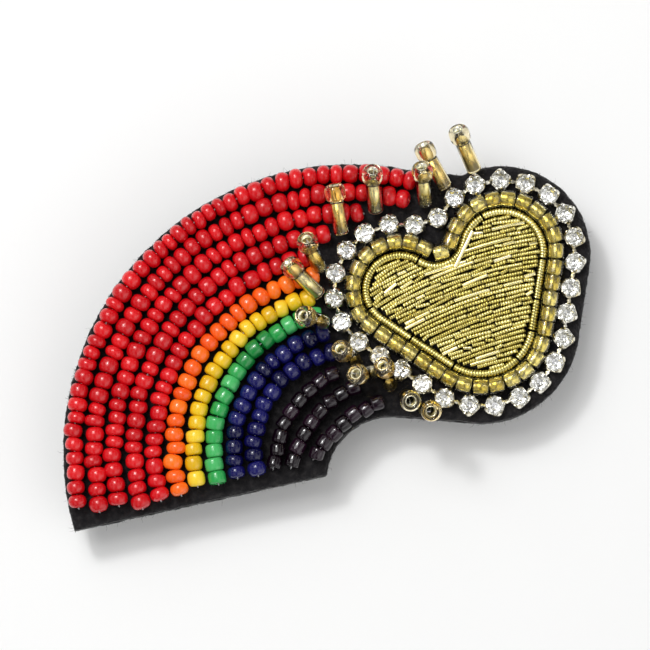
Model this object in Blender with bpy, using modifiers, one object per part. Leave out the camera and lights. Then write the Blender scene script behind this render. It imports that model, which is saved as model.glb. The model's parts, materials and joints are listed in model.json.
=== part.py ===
"""Beaded rainbow-and-heart brooch, lying on its back with the beads up.

A rainbow of sewn seed-bead rows runs from a flat foot up to a heart that is edged
with cut metal coil, gold beads and a cup chain, and thirteen short bugle-bead rays
stand round the heart. Everything is sewn to a sandwich of felt, and a bar pin with a
swinging stem and a turning safety catch is sewn to the back.

+X runs along the foot towards the heart, +Y is up when the brooch is worn and +Z
points out of its face. Plans are drawn in millimetres about the centre of the
rainbow's arcs, and the finished brooch is then moved so that the middle of its
footprint is the origin and its lowest point is z = 0.
"""
import math

import bmesh
import bpy
from mathutils import Vector

MM = 0.001
COLLECTION_NAME = "rainbow_heart_brooch"
GAP = 0.05                      # clearance between sewn or stacked pieces
MERGE = 0.00001                 # metres, for welding a curve's caps

# Felt sandwich
BACK_FELT_THICK = 1.0
STIFFENER_THICK = 0.6
FRONT_FELT_THICK = 1.0
STIFFENER_INSET = 1.6

# Rainbow
BEAD_DIAMETER = 2.4
BEAD_PITCH = 1.72               # along the thread
ROW_GAP = 0.08                  # between neighbouring rows
INNER_ROUND_ROW = 12.2          # radius of the innermost row centred on the rainbow
FOOT_LIFT = -0.5                # of a row's start above the rainbow's level
FOOT_MARGIN = 2.1               # felt below the rainbow's level
OUTER_MARGIN = 1.4              # felt outside the outermost row
OUTER_FELT_START = 66.0         # degrees, where the heart's felt meets the outer arc
BEAD_SIDES = 1                  # bevel resolution: six sides
BEAD_NECK = 0.45                # share of the bead's radius at the holes
BEAD_SHOULDER = 0.27            # of the pitch, from a hole to where the bead is full
BEAD_WAIST = 0.44               # of the diameter, from a bead's middle to a ray or a cup
BEAD_STEPS = 100                # places along the thread for each bead
ROW_CROWDING = 0.91             # share of the diameter to which two rows may close up
START_STEP = 0.5                # degrees, for a row that starts higher than its foot

# Bay in the felt, under the arch; its edge follows the innermost row of beads
BAY_CENTRE = (3.9, -4.9)
BAY_START, BAY_END = 162.0, 70.0

# Heart, drawn on the centre line of its gold beads
LEFT_LOBE = (10.34, 18.01)
LEFT_LOBE_RADIUS = 5.97
RIGHT_LOBE = (23.95, 19.83)
RIGHT_LOBE_RADIUS = 6.69
TIP = (19.17, 11.68)
TIP_RADIUS = 8.06
BORDER_CLEFT = 1.9              # radius in the notch between the lobes
BORDER_DIAMETER = 2.2
BORDER_PITCH = 1.98
CUP_RADIUS = 1.25
CUP_HEIGHT = 1.5
STONE_RISE = 0.8
STONE_TABLE = 0.7
CUP_PITCH = 3.25
CUP_CLEFT = 3.2
LINK_RADIUS = 0.35
LINK_LIFT = 0.525               # of the links' middle above the felt
EDGING_RADIUS = 0.48
EDGING_GAP = 0.27               # between the edging coil and the gold beads
FILL_GAP = 0.15                 # between the fill and the edging coil
PADDING_THICK = 0.7
RIDGE_PITCH = 0.8               # of the laid coil rows
RIDGE_HEIGHT = 0.45
FILL_THICK = 1.0
RIDGE_SLOPE = 7.0               # degrees from +X
HEART_FELT_MARGIN = 1.9         # felt outside the cup chain's centre line
TIP_FELT_START = -112.0         # degrees, where the heart's felt leaves the bay

# Rays: a bugle bead topped by a round bead
BUGLE_LENGTH = 4.4
BUGLE_RADIUS = 0.95
BUGLE_BORE = 0.45
TIP_BEAD_RADIUS = 1.25
TIP_BEAD_LENGTH = 1.9
TIP_BEAD_BORE = 0.4
TIP_BEAD_SHOULDER = 0.75        # share of its radius at the two flat ends
TIP_BEAD_BELLY = 0.4            # share of its half length that is full width
ROUND_SIDES = 8
# share of the way round the heart from its right side, heading from +X and lift above
# the felt (degrees), and how high the foot is held by the beads and cups beside it
RAYS = (
    (0.216, 104, 37, 0.0),
    (0.257, 109, 27, 0.8),
    (0.290, 85, 54, 0.8),
    (0.351, 84, 45, 1.4),
    (0.401, 87, 30, 1.6),
    (0.451, 108, 59, 1.6),
    (0.482, 126, 36, 1.2),
    (0.517, 165, 67, 1.6),
    (0.577, 144, 70, 0.0),
    (0.600, 192, 68, 0.4),
    (0.626, 106, 71, 0.1),
    (0.649, 274, 77, 0.0),
    (0.675, 292, 79, 0.0),
)

# Bar pin, drawn about the middle of its bar
PIN_AT = (-1.0, 16.4)
BAR_LENGTH = 32.0
BAR_WIDTH = 5.0
BAR_THICK = 0.7
BAR_HOLE_RADIUS = 0.9
BAR_HOLE_PITCH = 7.5
STEM_RADIUS = 0.45
STEM_POINT = 2.6                # length of the sharpened end
STEM_TIP = 0.15                 # share of the stem's radius at its point
STEM_OVERHANG = 2.2             # of the point beyond the catch
STEM_GAP = 0.1                  # all round, in the catch and on the rivet
EYE_RADIUS = 1.05
EYE_OVERLAP = 0.315             # of the stem into its eye
EYE_WIDTH = 1.1
EAR_THICK = 0.6
EAR_REACH = 1.1                 # radius of the ears about the rivet
RIVET_RADIUS = 0.4
RIVET_HEAD_RADIUS = 0.75
RIVET_HEAD = 0.3
HINGE_INSET = 1.6               # of the rivet from the bar's end
CATCH_WALL = 0.5
CATCH_LENGTH = 3.0
CATCH_INSET = 3.4               # of the catch's middle from the bar's end
CATCH_MOUTH = 1.3
CATCH_SINK = 0.12               # depth of the ring's seat in the bar
ROTOR_WALL = 0.9
ROTOR_GAP = 0.07
FLANGE_THICK = 0.4
FLANGE_GAP = 0.2                # from the rotor's flanges to the bar
THUMB_LENGTH = 1.0              # of the tab beyond its flange
THUMB_WIDTH = 1.1
THUMB_ANGLE = -60.0             # degrees from the slot
THREAD_RADIUS = 0.25
WIRE_SIDES = 2                  # bevel resolution: eight sides
ROUND_STEP = 0.45               # length of the flats on the pin's small round parts
DISC_SIDES = 12

ROTOR_RADIUS = STEM_RADIUS + STEM_GAP + ROTOR_WALL
CATCH_RADIUS = ROTOR_RADIUS + ROTOR_GAP + CATCH_WALL
STEM_DROP = CATCH_RADIUS - CATCH_SINK    # the stem's centre below the bar
CATCH_DEPTH = STEM_DROP + CATCH_RADIUS
FLANGE_RADIUS = STEM_DROP - FLANGE_GAP
THUMB_REACH = FLANGE_RADIUS + THUMB_LENGTH
FELT_BACK = BAR_THICK + CATCH_DEPTH + GAP
STIFFENER_AT = FELT_BACK + BACK_FELT_THICK + GAP
FRONT_AT = STIFFENER_AT + STIFFENER_THICK + GAP
FACE = FRONT_AT + FRONT_FELT_THICK
BAR_BACK = CATCH_DEPTH
STEM_LEVEL = BAR_BACK - STEM_DROP

ROW_PITCH = BEAD_DIAMETER + ROW_GAP
BEAD_REACH = BEAD_WAIST * BEAD_DIAMETER
CUP_REACH = CUP_RADIUS + BEAD_REACH
ROW_REACH = ROW_CROWDING * BEAD_DIAMETER
LEVEL = (0.0, 0.0)              # centre of the rainbow's round rows
CUP_OFFSET = BORDER_DIAMETER / 2 + CUP_RADIUS + GAP
EDGING_OFFSET = -(BORDER_DIAMETER / 2 + EDGING_RADIUS + EDGING_GAP)
FILL_OFFSET = EDGING_OFFSET - EDGING_RADIUS - FILL_GAP
PLAN_STEP = 1.8                 # spacing of outline points on round stretches
OUTLINE_STEPS = 1000            # places round the heart

# rows centred on the rainbow, from the outside in: name, colour
ROUND_ROWS = (
    ("red_bead_row_1", "red"),
    ("red_bead_row_2", "red"),
    ("red_bead_row_3", "red"),
    ("red_bead_row_4", "red"),
    ("red_bead_row_5", "red"),
    ("orange_bead_row", "orange"),
    ("yellow_bead_row", "yellow"),
    ("green_bead_row", "green"),
    ("blue_bead_row_1", "blue"),
    ("blue_bead_row_2", "blue"),
)
# the innermost rows flatten towards the heart: how far each one's centre and radius
# move from those of the row outside it, in row pitches
PURPLE_ROWS = (
    ("purple_bead_row_1", (1.17, -1.33), 0.40),
    ("purple_bead_row_2", (0.36, -0.56), -0.44),
    ("purple_bead_row_3", (0.97, -2.06), 1.05),
)

# colour, roughness, metallic
FINISHES = {
    "felt": ((0.02, 0.02, 0.022), 0.95, 0.0),
    "board": ((0.55, 0.5, 0.42), 0.8, 0.0),
    "red": ((0.65, 0.01, 0.015), 0.15, 0.0),
    "orange": ((0.9, 0.13, 0.01), 0.15, 0.0),
    "yellow": ((0.85, 0.55, 0.01), 0.15, 0.0),
    "green": ((0.02, 0.36, 0.07), 0.15, 0.0),
    "blue": ((0.01, 0.02, 0.28), 0.08, 0.0),
    "purple": ((0.09, 0.01, 0.16), 0.08, 0.0),
    "gold_bead": ((0.75, 0.5, 0.15), 0.2, 0.6),
    "gold_coil": ((0.72, 0.55, 0.22), 0.35, 1.0),
    "cup_chain": ((0.8, 0.78, 0.72), 0.15, 1.0),
    "bugle": ((0.85, 0.75, 0.5), 0.1, 0.3),
    "steel": ((0.65, 0.65, 0.66), 0.3, 1.0),
    "thread": ((0.02, 0.02, 0.02), 0.7, 0.0),
}


def clear_scene():
    for item in list(bpy.data.objects):
        bpy.data.objects.remove(item, do_unlink=True)


def make_collection(name, hidden=False):
    collection = bpy.data.collections.new(name)
    bpy.context.scene.collection.children.link(collection)
    collection.hide_render = hidden
    return collection


def make_material(name):
    colour, roughness, metallic = FINISHES[name]
    material = bpy.data.materials.new(name)
    material.use_nodes = True
    shader = material.node_tree.nodes["Principled BSDF"]
    shader.inputs["Base Color"].default_value = (*colour, 1.0)
    shader.inputs["Roughness"].default_value = roughness
    shader.inputs["Metallic"].default_value = metallic
    return material


def polar(centre, radius, degrees):
    angle = math.radians(degrees)
    return Vector((centre[0] + radius * math.cos(angle), centre[1] + radius * math.sin(angle)))


def heading(start, end):
    delta = Vector(end) - Vector(start)
    return math.degrees(math.atan2(delta.y, delta.x))


def arc(centre, radius, start, end, step=PLAN_STEP):
    """Points from start to end in degrees, turning the way the angles run."""
    count = max(2, math.ceil(math.radians(abs(end - start)) * radius / step))
    return [polar(centre, radius, start + (end - start) * i / count) for i in range(count + 1)]


def sweep_up(angle, floor):
    """The same direction, as the first angle above the floor."""
    return floor + (angle - floor) % 360.0


def tangent_normal(centre_a, radius_a, centre_b, radius_b):
    """Outward direction of the line that touches both circles on its left side."""
    span = (Vector(centre_b) - Vector(centre_a)).length
    return heading(centre_a, centre_b) - math.degrees(math.acos((radius_a - radius_b) / span))


def cleft_centre(offset, cleft_radius):
    """Centre of the round notch that touches both lobes from above."""
    reach_left = LEFT_LOBE_RADIUS + offset + cleft_radius
    reach_right = RIGHT_LOBE_RADIUS + offset + cleft_radius
    across = Vector(RIGHT_LOBE) - Vector(LEFT_LOBE)
    along = (reach_left ** 2 - reach_right ** 2 + across.length ** 2) / (2 * across.length)
    rise = math.sqrt(reach_left ** 2 - along ** 2)
    unit = across.normalized()
    return Vector(LEFT_LOBE) + unit * along + Vector((-unit.y, unit.x)) * rise


def heart_angles(offset):
    """Outward directions where the straight sides leave the tip and the two lobes."""
    left, right, tip = LEFT_LOBE_RADIUS + offset, RIGHT_LOBE_RADIUS + offset, TIP_RADIUS + offset
    left_side = tangent_normal(LEFT_LOBE, left, TIP, tip)
    right_side = tangent_normal(TIP, tip, RIGHT_LOBE, right)
    return left_side, right_side


def heart_outline(offset, cleft_radius, step=PLAN_STEP):
    """The heart's line moved outwards by offset, counterclockwise from its right side."""
    left_side, right_side = heart_angles(offset)
    notch = cleft_centre(offset, cleft_radius)
    right_end = sweep_up(heading(RIGHT_LOBE, notch), right_side)
    notch_start = heading(notch, RIGHT_LOBE)
    notch_end = sweep_up(heading(notch, LEFT_LOBE), notch_start - 360.0)
    left_start = heading(LEFT_LOBE, notch)
    left_end = sweep_up(left_side, left_start)
    points = arc(RIGHT_LOBE, RIGHT_LOBE_RADIUS + offset, right_side, right_end, step)
    points += arc(notch, cleft_radius, notch_start, notch_end, step)[1:]
    points += arc(LEFT_LOBE, LEFT_LOBE_RADIUS + offset, left_start, left_end, step)[1:]
    points += arc(TIP, TIP_RADIUS + offset, left_end, sweep_up(right_side, left_end), step)
    return points


def round_row_radius(index):
    """Radius of the row, counted from the outside."""
    return INNER_ROUND_ROW + ROW_PITCH * (len(ROUND_ROWS) - 1 - index)


def row_circles():
    """Each row's name, colour, centre and radius, from the outside in."""
    circles = []
    for index, (name, finish) in enumerate(ROUND_ROWS):
        circles.append((name, finish, Vector(LEVEL), round_row_radius(index)))
    centre, radius = Vector(LEVEL), INNER_ROUND_ROW
    for name, shift, growth in PURPLE_ROWS:
        centre = centre + Vector(shift) * ROW_PITCH
        radius += growth * ROW_PITCH
        circles.append((name, "purple", centre, radius))
    return circles


def bay_radius():
    """The bay's edge touches the beads of the innermost row from below."""
    centre, radius = row_circles()[-1][2:]
    return radius - (centre - Vector(BAY_CENTRE)).length - BEAD_DIAMETER / 2


def felt_outline(inset=0.0):
    """The felt's edge, counterclockwise, moved inwards by inset."""
    margin = CUP_OFFSET + HEART_FELT_MARGIN
    outer = round_row_radius(0) + OUTER_MARGIN
    right_side = heart_angles(margin)[1]
    foot_angle = 180.0 + math.degrees(math.asin(FOOT_MARGIN / outer))
    points = arc(TIP, TIP_RADIUS + margin, TIP_FELT_START, right_side)
    points += arc(RIGHT_LOBE, RIGHT_LOBE_RADIUS + margin, right_side, 104.0)
    points += arc(LEVEL, outer, OUTER_FELT_START, foot_angle)
    points += arc(BAY_CENTRE, bay_radius(), BAY_START, BAY_END)
    return inset_points(points, inset)


def inset_points(points, inset):
    """Each corner moved inwards along the middle of its two sides' normals."""
    moved = []
    for before, here, after in zip(points[-1:] + points[:-1], points, points[1:] + points[:1]):
        first = (here - before).normalized()
        second = (after - here).normalized()
        normal = Vector((-first.y - second.y, first.x + second.x)).normalized()
        lean = normal.dot(Vector((-first.y, first.x)))
        moved.append(here + normal * (inset / lean))
    return moved


def resample(points, count, closed):
    """Count points at equal spacing along the line, from its start to its end."""
    line = list(points) + ([points[0]] if closed else [])
    reach = [0.0]
    for a, b in zip(line, line[1:]):
        reach.append(reach[-1] + (b - a).length)
    spans = count if closed else count - 1
    placed = []
    segment = 0
    for index in range(count):
        target = reach[-1] * index / spans
        while segment < len(line) - 2 and reach[segment + 1] < target:
            segment += 1
        share = (target - reach[segment]) / (reach[segment + 1] - reach[segment])
        placed.append(line[segment].lerp(line[segment + 1], share))
    return placed


def path_length(points, closed):
    line = list(points) + ([points[0]] if closed else [])
    return sum((b - a).length for a, b in zip(line, line[1:]))


class Builder:
    """Holds the collections, the parent empty and the materials."""

    def __init__(self):
        self.parts = make_collection(COLLECTION_NAME)
        self.cutters = make_collection("cutters", hidden=True)
        self.materials = {name: make_material(name) for name in FINISHES}
        self.root = bpy.data.objects.new("brooch_origin", None)
        self.parts.objects.link(self.root)

    def add(self, name, data, finish, at=(0.0, 0.0, 0.0)):
        """A new part at a place given in millimetres."""
        item = bpy.data.objects.new(name, data)
        item.parent = self.root
        item.location = Vector(at) * MM
        data.materials.clear()
        data.materials.append(self.materials[finish])
        self.parts.objects.link(item)
        return item

    def add_cutter(self, name, data):
        item = bpy.data.objects.new(name, data)
        item.parent = self.root
        item.hide_render = True
        item.display_type = "WIRE"
        self.cutters.objects.link(item)
        return item

    def boolean(self, item, other, operation):
        cut = item.modifiers.new(operation.lower(), "BOOLEAN")
        cut.operation = operation
        cut.solver = "EXACT"
        cut.object = other
        return cut


def flat_curve(name, outlines, thick):
    """A plate of the given outlines, centred on its own plane."""
    curve = bpy.data.curves.new(name, "CURVE")
    curve.dimensions = "2D"
    curve.fill_mode = "BOTH"
    curve.extrude = thick / 2 * MM
    for outline in outlines:
        spline = curve.splines.new("POLY")
        spline.points.add(len(outline) - 1)
        for point, place in zip(spline.points, outline):
            point.co = (place[0] * MM, place[1] * MM, 0.0, 1.0)
        spline.use_cyclic_u = True
    return curve


def tube_curve(name, places, radius, resolution, closed=False, swell=None):
    """A wire through the places; swell gives each place its share of the radius."""
    curve = bpy.data.curves.new(name, "CURVE")
    curve.dimensions = "3D"
    curve.twist_mode = "Z_UP"
    curve.bevel_depth = radius * MM
    curve.bevel_resolution = resolution
    curve.use_fill_caps = not closed
    spline = curve.splines.new("POLY")
    spline.points.add(len(places) - 1)
    for index, place in enumerate(places):
        point = spline.points[index]
        point.co = (*(Vector(place) * MM), 1.0)
        point.radius = swell[index] if swell else 1.0
    spline.use_cyclic_u = closed
    return curve


def curve_to_mesh(curve):
    """The curve's solid as a welded mesh; the curve itself is removed."""
    holder = bpy.data.objects.new("holder", curve)
    bpy.context.scene.collection.objects.link(holder)
    bpy.context.view_layer.update()
    evaluated = holder.evaluated_get(bpy.context.evaluated_depsgraph_get())
    mesh = bpy.data.meshes.new_from_object(evaluated)
    bpy.data.objects.remove(holder, do_unlink=True)
    name = curve.name
    bpy.data.curves.remove(curve)
    mesh.name = name
    shape = bmesh.new()
    shape.from_mesh(mesh)
    bmesh.ops.remove_doubles(shape, verts=shape.verts, dist=MERGE)
    bmesh.ops.recalc_face_normals(shape, faces=shape.faces)
    shape.to_mesh(mesh)
    shape.free()
    return mesh


def turned_object(builder, name, profile, sides, finish, closed=False):
    """A profile of (radius, height) pairs, top to bottom, turned about its own Z."""
    mesh = bpy.data.meshes.new(name)
    places = [(radius * MM, 0.0, height * MM) for radius, height in profile]
    edges = [(i, i + 1) for i in range(len(profile) - 1)]
    if closed:
        edges.append((len(profile) - 1, 0))
    mesh.from_pydata(places, edges, [])
    item = builder.add(name, mesh, finish)
    screw = item.modifiers.new("turn", "SCREW")
    screw.steps = sides
    screw.render_steps = sides
    screw.use_merge_vertices = True
    screw.merge_threshold = MERGE
    screw.use_smooth_shade = False
    return item


def lift(points, height):
    return [Vector((point[0], point[1], height)) for point in points]


def bead_stations(points, pitch, closed):
    """Places and swells along a thread: each bead is a hole edge and two shoulders."""
    count = round(path_length(points, closed) / pitch)
    fine = resample(points, count * BEAD_STEPS + (0 if closed else 1), closed)
    shares = ((0.0, BEAD_NECK), (BEAD_SHOULDER, 1.0), (1.0 - BEAD_SHOULDER, 1.0))
    places = []
    swells = []
    for bead in range(count):
        for share, swell in shares:
            places.append(fine[round((bead + share) * BEAD_STEPS)])
            swells.append(swell)
    if not closed:
        places.append(fine[-1])
        swells.append(BEAD_NECK)
    return places, swells


def add_bead_string(builder, name, finish, points, diameter, pitch, closed=False):
    places, swells = bead_stations(points, pitch, closed)
    height = FACE + GAP + diameter / 2
    curve = tube_curve(name, lift(places, height), diameter / 2, BEAD_SIDES, closed, swells)
    return builder.add(name, curve, finish)


def add_felts(builder):
    """Front felt, stiffener and backing felt, glued and sewn round the edge."""
    layers = (
        ("backing_felt", "felt", FELT_BACK, BACK_FELT_THICK, 0.0),
        ("stiffener", "board", STIFFENER_AT, STIFFENER_THICK, STIFFENER_INSET),
        ("front_felt", "felt", FRONT_AT, FRONT_FELT_THICK, 0.0),
    )
    for name, finish, bottom, thick, inset in layers:
        plate = flat_curve(name, [felt_outline(inset)], thick)
        builder.add(name, curve_to_mesh(plate), finish, (0.0, 0.0, bottom + thick / 2))


def is_blocked(place, cup_line, rays):
    """True where a bead would touch the cup chain or a ray."""
    if min((place - other).length for other in cup_line) < CUP_REACH:
        return True
    middle = Vector((place.x, place.y, FACE + GAP + BEAD_DIAMETER / 2))
    for base, axis in rays:
        for near, far, radius in (
            (0.0, BUGLE_LENGTH, BUGLE_RADIUS),
            (BUGLE_LENGTH + TIP_BEAD_RADIUS / 2, BUGLE_LENGTH + TIP_BEAD_LENGTH, TIP_BEAD_RADIUS),
        ):
            along = min(max((middle - base).dot(axis), near), far)
            if (base + axis * along - middle).length < radius + BEAD_REACH:
                return True
    return False


def is_crowded(place, outer):
    """True where a bead would touch the row outside its own."""
    centre, radius = outer
    return radius - (place - centre).length < ROW_REACH


def free_start(centre, radius, outer):
    """Where a row starts: at the foot, or higher up where the row outside leaves it room."""
    start = 180.0 - math.degrees(math.asin((LEVEL[1] + FOOT_LIFT - centre.y) / radius))
    while is_crowded(polar(centre, radius, start), outer):
        start -= START_STEP
    return start


def free_beads(centre, radius, start, outer, cup_line, rays):
    """How many beads fit on the arc before the next one meets the heart, a ray or a row."""
    step = math.degrees(BEAD_PITCH / radius)
    most = int(180.0 / step)
    for count in range(most):
        place = polar(centre, radius, start - (count + 0.5) * step)
        if is_crowded(place, outer) or is_blocked(place, cup_line, rays):
            return count
    return most


def add_rainbow(builder):
    cup_line = resample(heart_outline(CUP_OFFSET, CUP_CLEFT), OUTLINE_STEPS, True)
    rays = [ray_line(*ray) for ray in RAYS]
    outer = (Vector(LEVEL), round_row_radius(-1))
    for name, finish, centre, radius in row_circles():
        start = free_start(centre, radius, outer)
        count = free_beads(centre, radius, start, outer, cup_line, rays)
        stop = start - math.degrees(count * BEAD_PITCH / radius)
        points = arc(centre, radius, start, stop)
        add_bead_string(builder, name, finish, points, BEAD_DIAMETER, BEAD_PITCH)
        outer = (centre, radius)


def add_heart_padding(builder):
    outline = heart_outline(FILL_OFFSET, BORDER_CLEFT - FILL_OFFSET)
    plate = flat_curve("heart_padding", [outline], PADDING_THICK)
    middle = FACE + GAP + PADDING_THICK / 2
    builder.add("heart_padding", curve_to_mesh(plate), "felt", (0.0, 0.0, middle))


def ridge_profile(reach):
    """Cross-section of the laid coil rows: a flat base under a row of humps."""
    count = math.ceil(2 * reach / RIDGE_PITCH)
    low = FILL_THICK - RIDGE_HEIGHT
    shares = ((0.0, 0.0), (0.2, 0.8), (0.5, 1.0), (0.8, 0.8))
    top = []
    for ridge in range(count):
        for share, rise in shares:
            top.append((-reach + (ridge + share) * RIDGE_PITCH, low + rise * RIDGE_HEIGHT))
    right = -reach + count * RIDGE_PITCH
    return [(-reach, -FILL_THICK), (right, -FILL_THICK), (right, low)] + top[::-1]


def add_heart_fill(builder):
    """Rows of cut coil laid side by side across the heart, trimmed to its outline."""
    outline = heart_outline(FILL_OFFSET, BORDER_CLEFT - FILL_OFFSET)
    reach = max((point - Vector(TIP)).length for point in outline) + RIDGE_PITCH
    rows = curve_to_mesh(flat_curve("heart_fill", [ridge_profile(reach)], 2 * reach))
    bottom = FACE + PADDING_THICK + 2 * GAP
    item = builder.add("heart_fill", rows, "gold_coil", (*TIP, bottom))
    item.rotation_euler = (math.radians(90), 0.0, math.radians(90 + RIDGE_SLOPE))
    trim = flat_curve("heart_fill_trim", [outline], 2 * FILL_THICK)
    cutter = builder.add_cutter("heart_fill_trim", curve_to_mesh(trim))
    cutter.location = (0.0, 0.0, (bottom + FILL_THICK) * MM)
    builder.boolean(item, cutter, "INTERSECT")


def add_heart_edging(builder):
    """A thin metal coil laid round the fill."""
    outline = heart_outline(EDGING_OFFSET, BORDER_CLEFT - EDGING_OFFSET)
    count = round(path_length(outline, True) / PLAN_STEP)
    places = lift(resample(outline, count, True), FACE + GAP + EDGING_RADIUS)
    curve = tube_curve("heart_edging_coil", places, EDGING_RADIUS, BEAD_SIDES, closed=True)
    builder.add("heart_edging_coil", curve, "gold_coil")


def add_cup_chain(builder):
    """Stones in cups on a chain of links; the lowest part of each cup sits on the felt."""
    line = heart_outline(CUP_OFFSET, CUP_CLEFT)
    count = round(path_length(line, True) / CUP_PITCH)
    cups = bmesh.new()
    for place in resample(line, count, True):
        add_cup(cups, place)
    cup_mesh = bpy.data.meshes.new("cups")
    cups.to_mesh(cup_mesh)
    cups.free()
    level = FACE + GAP + LINK_LIFT
    places = lift(resample(line, count, True), level)
    links = curve_to_mesh(tube_curve("cup_chain", places, LINK_RADIUS, 0, closed=True))
    item = builder.add("cup_chain", links, "cup_chain")
    builder.boolean(item, builder.add_cutter("cup_bodies", cup_mesh), "UNION")


def add_cup(shape, place):
    """One cup with its stone: a low cylinder under a truncated cone."""
    bottom = FACE + GAP
    for low, high, wide, narrow in (
        (bottom, bottom + CUP_HEIGHT, CUP_RADIUS, CUP_RADIUS),
        (bottom + CUP_HEIGHT, bottom + CUP_HEIGHT + STONE_RISE, CUP_RADIUS, STONE_TABLE),
    ):
        made = bmesh.ops.create_cone(
            shape, cap_ends=True, segments=ROUND_SIDES,
            radius1=wide * MM, radius2=narrow * MM, depth=(high - low) * MM)
        middle = Vector((place[0], place[1], (low + high) / 2)) * MM
        bmesh.ops.translate(shape, verts=made["verts"], vec=middle)
    bmesh.ops.remove_doubles(shape, verts=shape.verts, dist=MERGE)
    inner = [face for face in shape.faces if is_inner_face(face, (bottom + CUP_HEIGHT) * MM)]
    bmesh.ops.delete(shape, geom=inner, context="FACES_ONLY")


def is_inner_face(face, level):
    """True for a flat face at the joint between a cup and its stone."""
    return all(abs(vert.co.z - level) < MERGE for vert in face.verts)


def add_border(builder):
    line = heart_outline(0.0, BORDER_CLEFT)
    add_bead_string(
        builder, "heart_border_beads", "gold_bead", line, BORDER_DIAMETER, BORDER_PITCH, closed=True)


def tip_bead_profile():
    """A rounded ring: down its outer side, then up its bore."""
    half = TIP_BEAD_LENGTH / 2
    belly = half * TIP_BEAD_BELLY
    shoulder = TIP_BEAD_RADIUS * TIP_BEAD_SHOULDER
    return (
        (TIP_BEAD_BORE, half), (shoulder, half), (TIP_BEAD_RADIUS, belly),
        (TIP_BEAD_RADIUS, -belly), (shoulder, -half), (TIP_BEAD_BORE, -half),
    )


def ray_line(share, azimuth, elevation, seat):
    """A ray's foot, just clear of the cups, and the way it points."""
    lift_angle = math.radians(elevation)
    bearing = math.radians(azimuth)
    stand_off = CUP_OFFSET + CUP_RADIUS + BUGLE_RADIUS * math.sin(lift_angle) + GAP
    places = resample(heart_outline(stand_off, CUP_CLEFT), OUTLINE_STEPS, True)
    foot = places[round(share * len(places))]
    flat = Vector((math.cos(bearing), math.sin(bearing), 0.0)) * math.cos(lift_angle)
    height = FACE + GAP + seat + BUGLE_RADIUS * math.cos(lift_angle)
    return Vector((foot.x, foot.y, height)), flat + Vector((0.0, 0.0, math.sin(lift_angle)))


def add_ray(builder, number, base, axis):
    """A bugle bead that stands on the felt, and the round bead that holds it."""
    turn = axis.to_track_quat("Z", "Y").to_euler()
    half = BUGLE_LENGTH / 2
    tube = (
        (BUGLE_BORE, half), (BUGLE_RADIUS, half), (BUGLE_RADIUS, -half), (BUGLE_BORE, -half),
    )
    bead_middle = BUGLE_LENGTH + GAP + TIP_BEAD_LENGTH / 2
    for name, profile, middle in (
        (f"ray_bugle_{number:02d}", tube, half),
        (f"ray_tip_bead_{number:02d}", tip_bead_profile(), bead_middle),
    ):
        item = turned_object(builder, name, profile, ROUND_SIDES, "bugle", closed=True)
        item.location = (base + axis * middle) * MM
        item.rotation_euler = turn


def add_rays(builder):
    for index, ray in enumerate(RAYS):
        add_ray(builder, index + 1, *ray_line(*ray))


def stadium(length, width):
    """A bar with round ends, counterclockwise about its middle."""
    half = (length - width) / 2
    return arc((half, 0.0), width / 2, -90.0, 90.0) + arc((-half, 0.0), width / 2, 90.0, 270.0)


def circle(centre, radius, sides=DISC_SIDES):
    return [polar(centre, radius, 360.0 * i / sides) for i in range(sides)]


def slotted_disc(radius, bore, slot):
    """A disc with a round bore that opens downwards through a slot."""
    outer_lean = math.degrees(math.asin(slot / 2 / radius))
    inner_lean = math.degrees(math.asin(min(1.0, slot / 2 / bore)))
    outer = arc((0.0, 0.0), radius, -90.0 + outer_lean, 270.0 - outer_lean, 2 * ROUND_STEP)
    inner = arc((0.0, 0.0), bore, 270.0 - inner_lean, -90.0 + inner_lean, ROUND_STEP)
    return outer + inner


def upright_plate(name, outlines, thick):
    return curve_to_mesh(flat_curve(name, outlines, thick))


def hinge_x():
    return -BAR_LENGTH / 2 + HINGE_INSET


def catch_x():
    return BAR_LENGTH / 2 - CATCH_INSET


def ear_outline():
    """An ear that hangs from the bar and carries the rivet; x along the bar, y downwards."""
    inside = BAR_THICK / 2
    lower = arc((0.0, STEM_DROP), EAR_REACH, 0.0, 180.0, ROUND_STEP)
    return [Vector((EAR_REACH, -inside))] + lower + [Vector((-EAR_REACH, -inside))]


def add_pin_bar(builder):
    """Flat bar with sewing holes, two ears for the stem and the split ring of the catch."""
    at = (*PIN_AT, BAR_BACK + BAR_THICK / 2)
    holes = [circle((side * BAR_HOLE_PITCH, 0.0), BAR_HOLE_RADIUS) for side in (-1, 0, 1)]
    plate = curve_to_mesh(flat_curve("pin_bar", [stadium(BAR_LENGTH, BAR_WIDTH)] + holes, BAR_THICK))
    bar = builder.add("pin_bar", plate, "steel", at)
    hole = circle((0.0, STEM_DROP), RIVET_RADIUS + GAP, ROUND_SIDES)
    for side, label in ((-1, "ear_front"), (1, "ear_rear")):
        mesh = upright_plate(label, [ear_outline(), hole], EAR_THICK)
        ear = builder.add_cutter(label, mesh)
        ear.location = Vector((PIN_AT[0] + hinge_x(), PIN_AT[1] + side * ear_middle(), BAR_BACK)) * MM
        ear.rotation_euler = (math.radians(-90), 0.0, 0.0)
        builder.boolean(bar, ear, "UNION")
    split = slotted_disc(CATCH_RADIUS, CATCH_RADIUS - CATCH_WALL, CATCH_MOUTH)
    ring = builder.add_cutter("catch_ring", upright_plate("catch_ring", [split], CATCH_LENGTH))
    ring.location = Vector((PIN_AT[0] + catch_x(), PIN_AT[1], STEM_LEVEL)) * MM
    ring.rotation_euler = (math.radians(90), 0.0, math.radians(90))
    builder.boolean(bar, ring, "UNION")


def ear_middle():
    """Distance of each ear's middle plane from the stem's."""
    return EYE_WIDTH / 2 + STEM_GAP + EAR_THICK / 2


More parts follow.
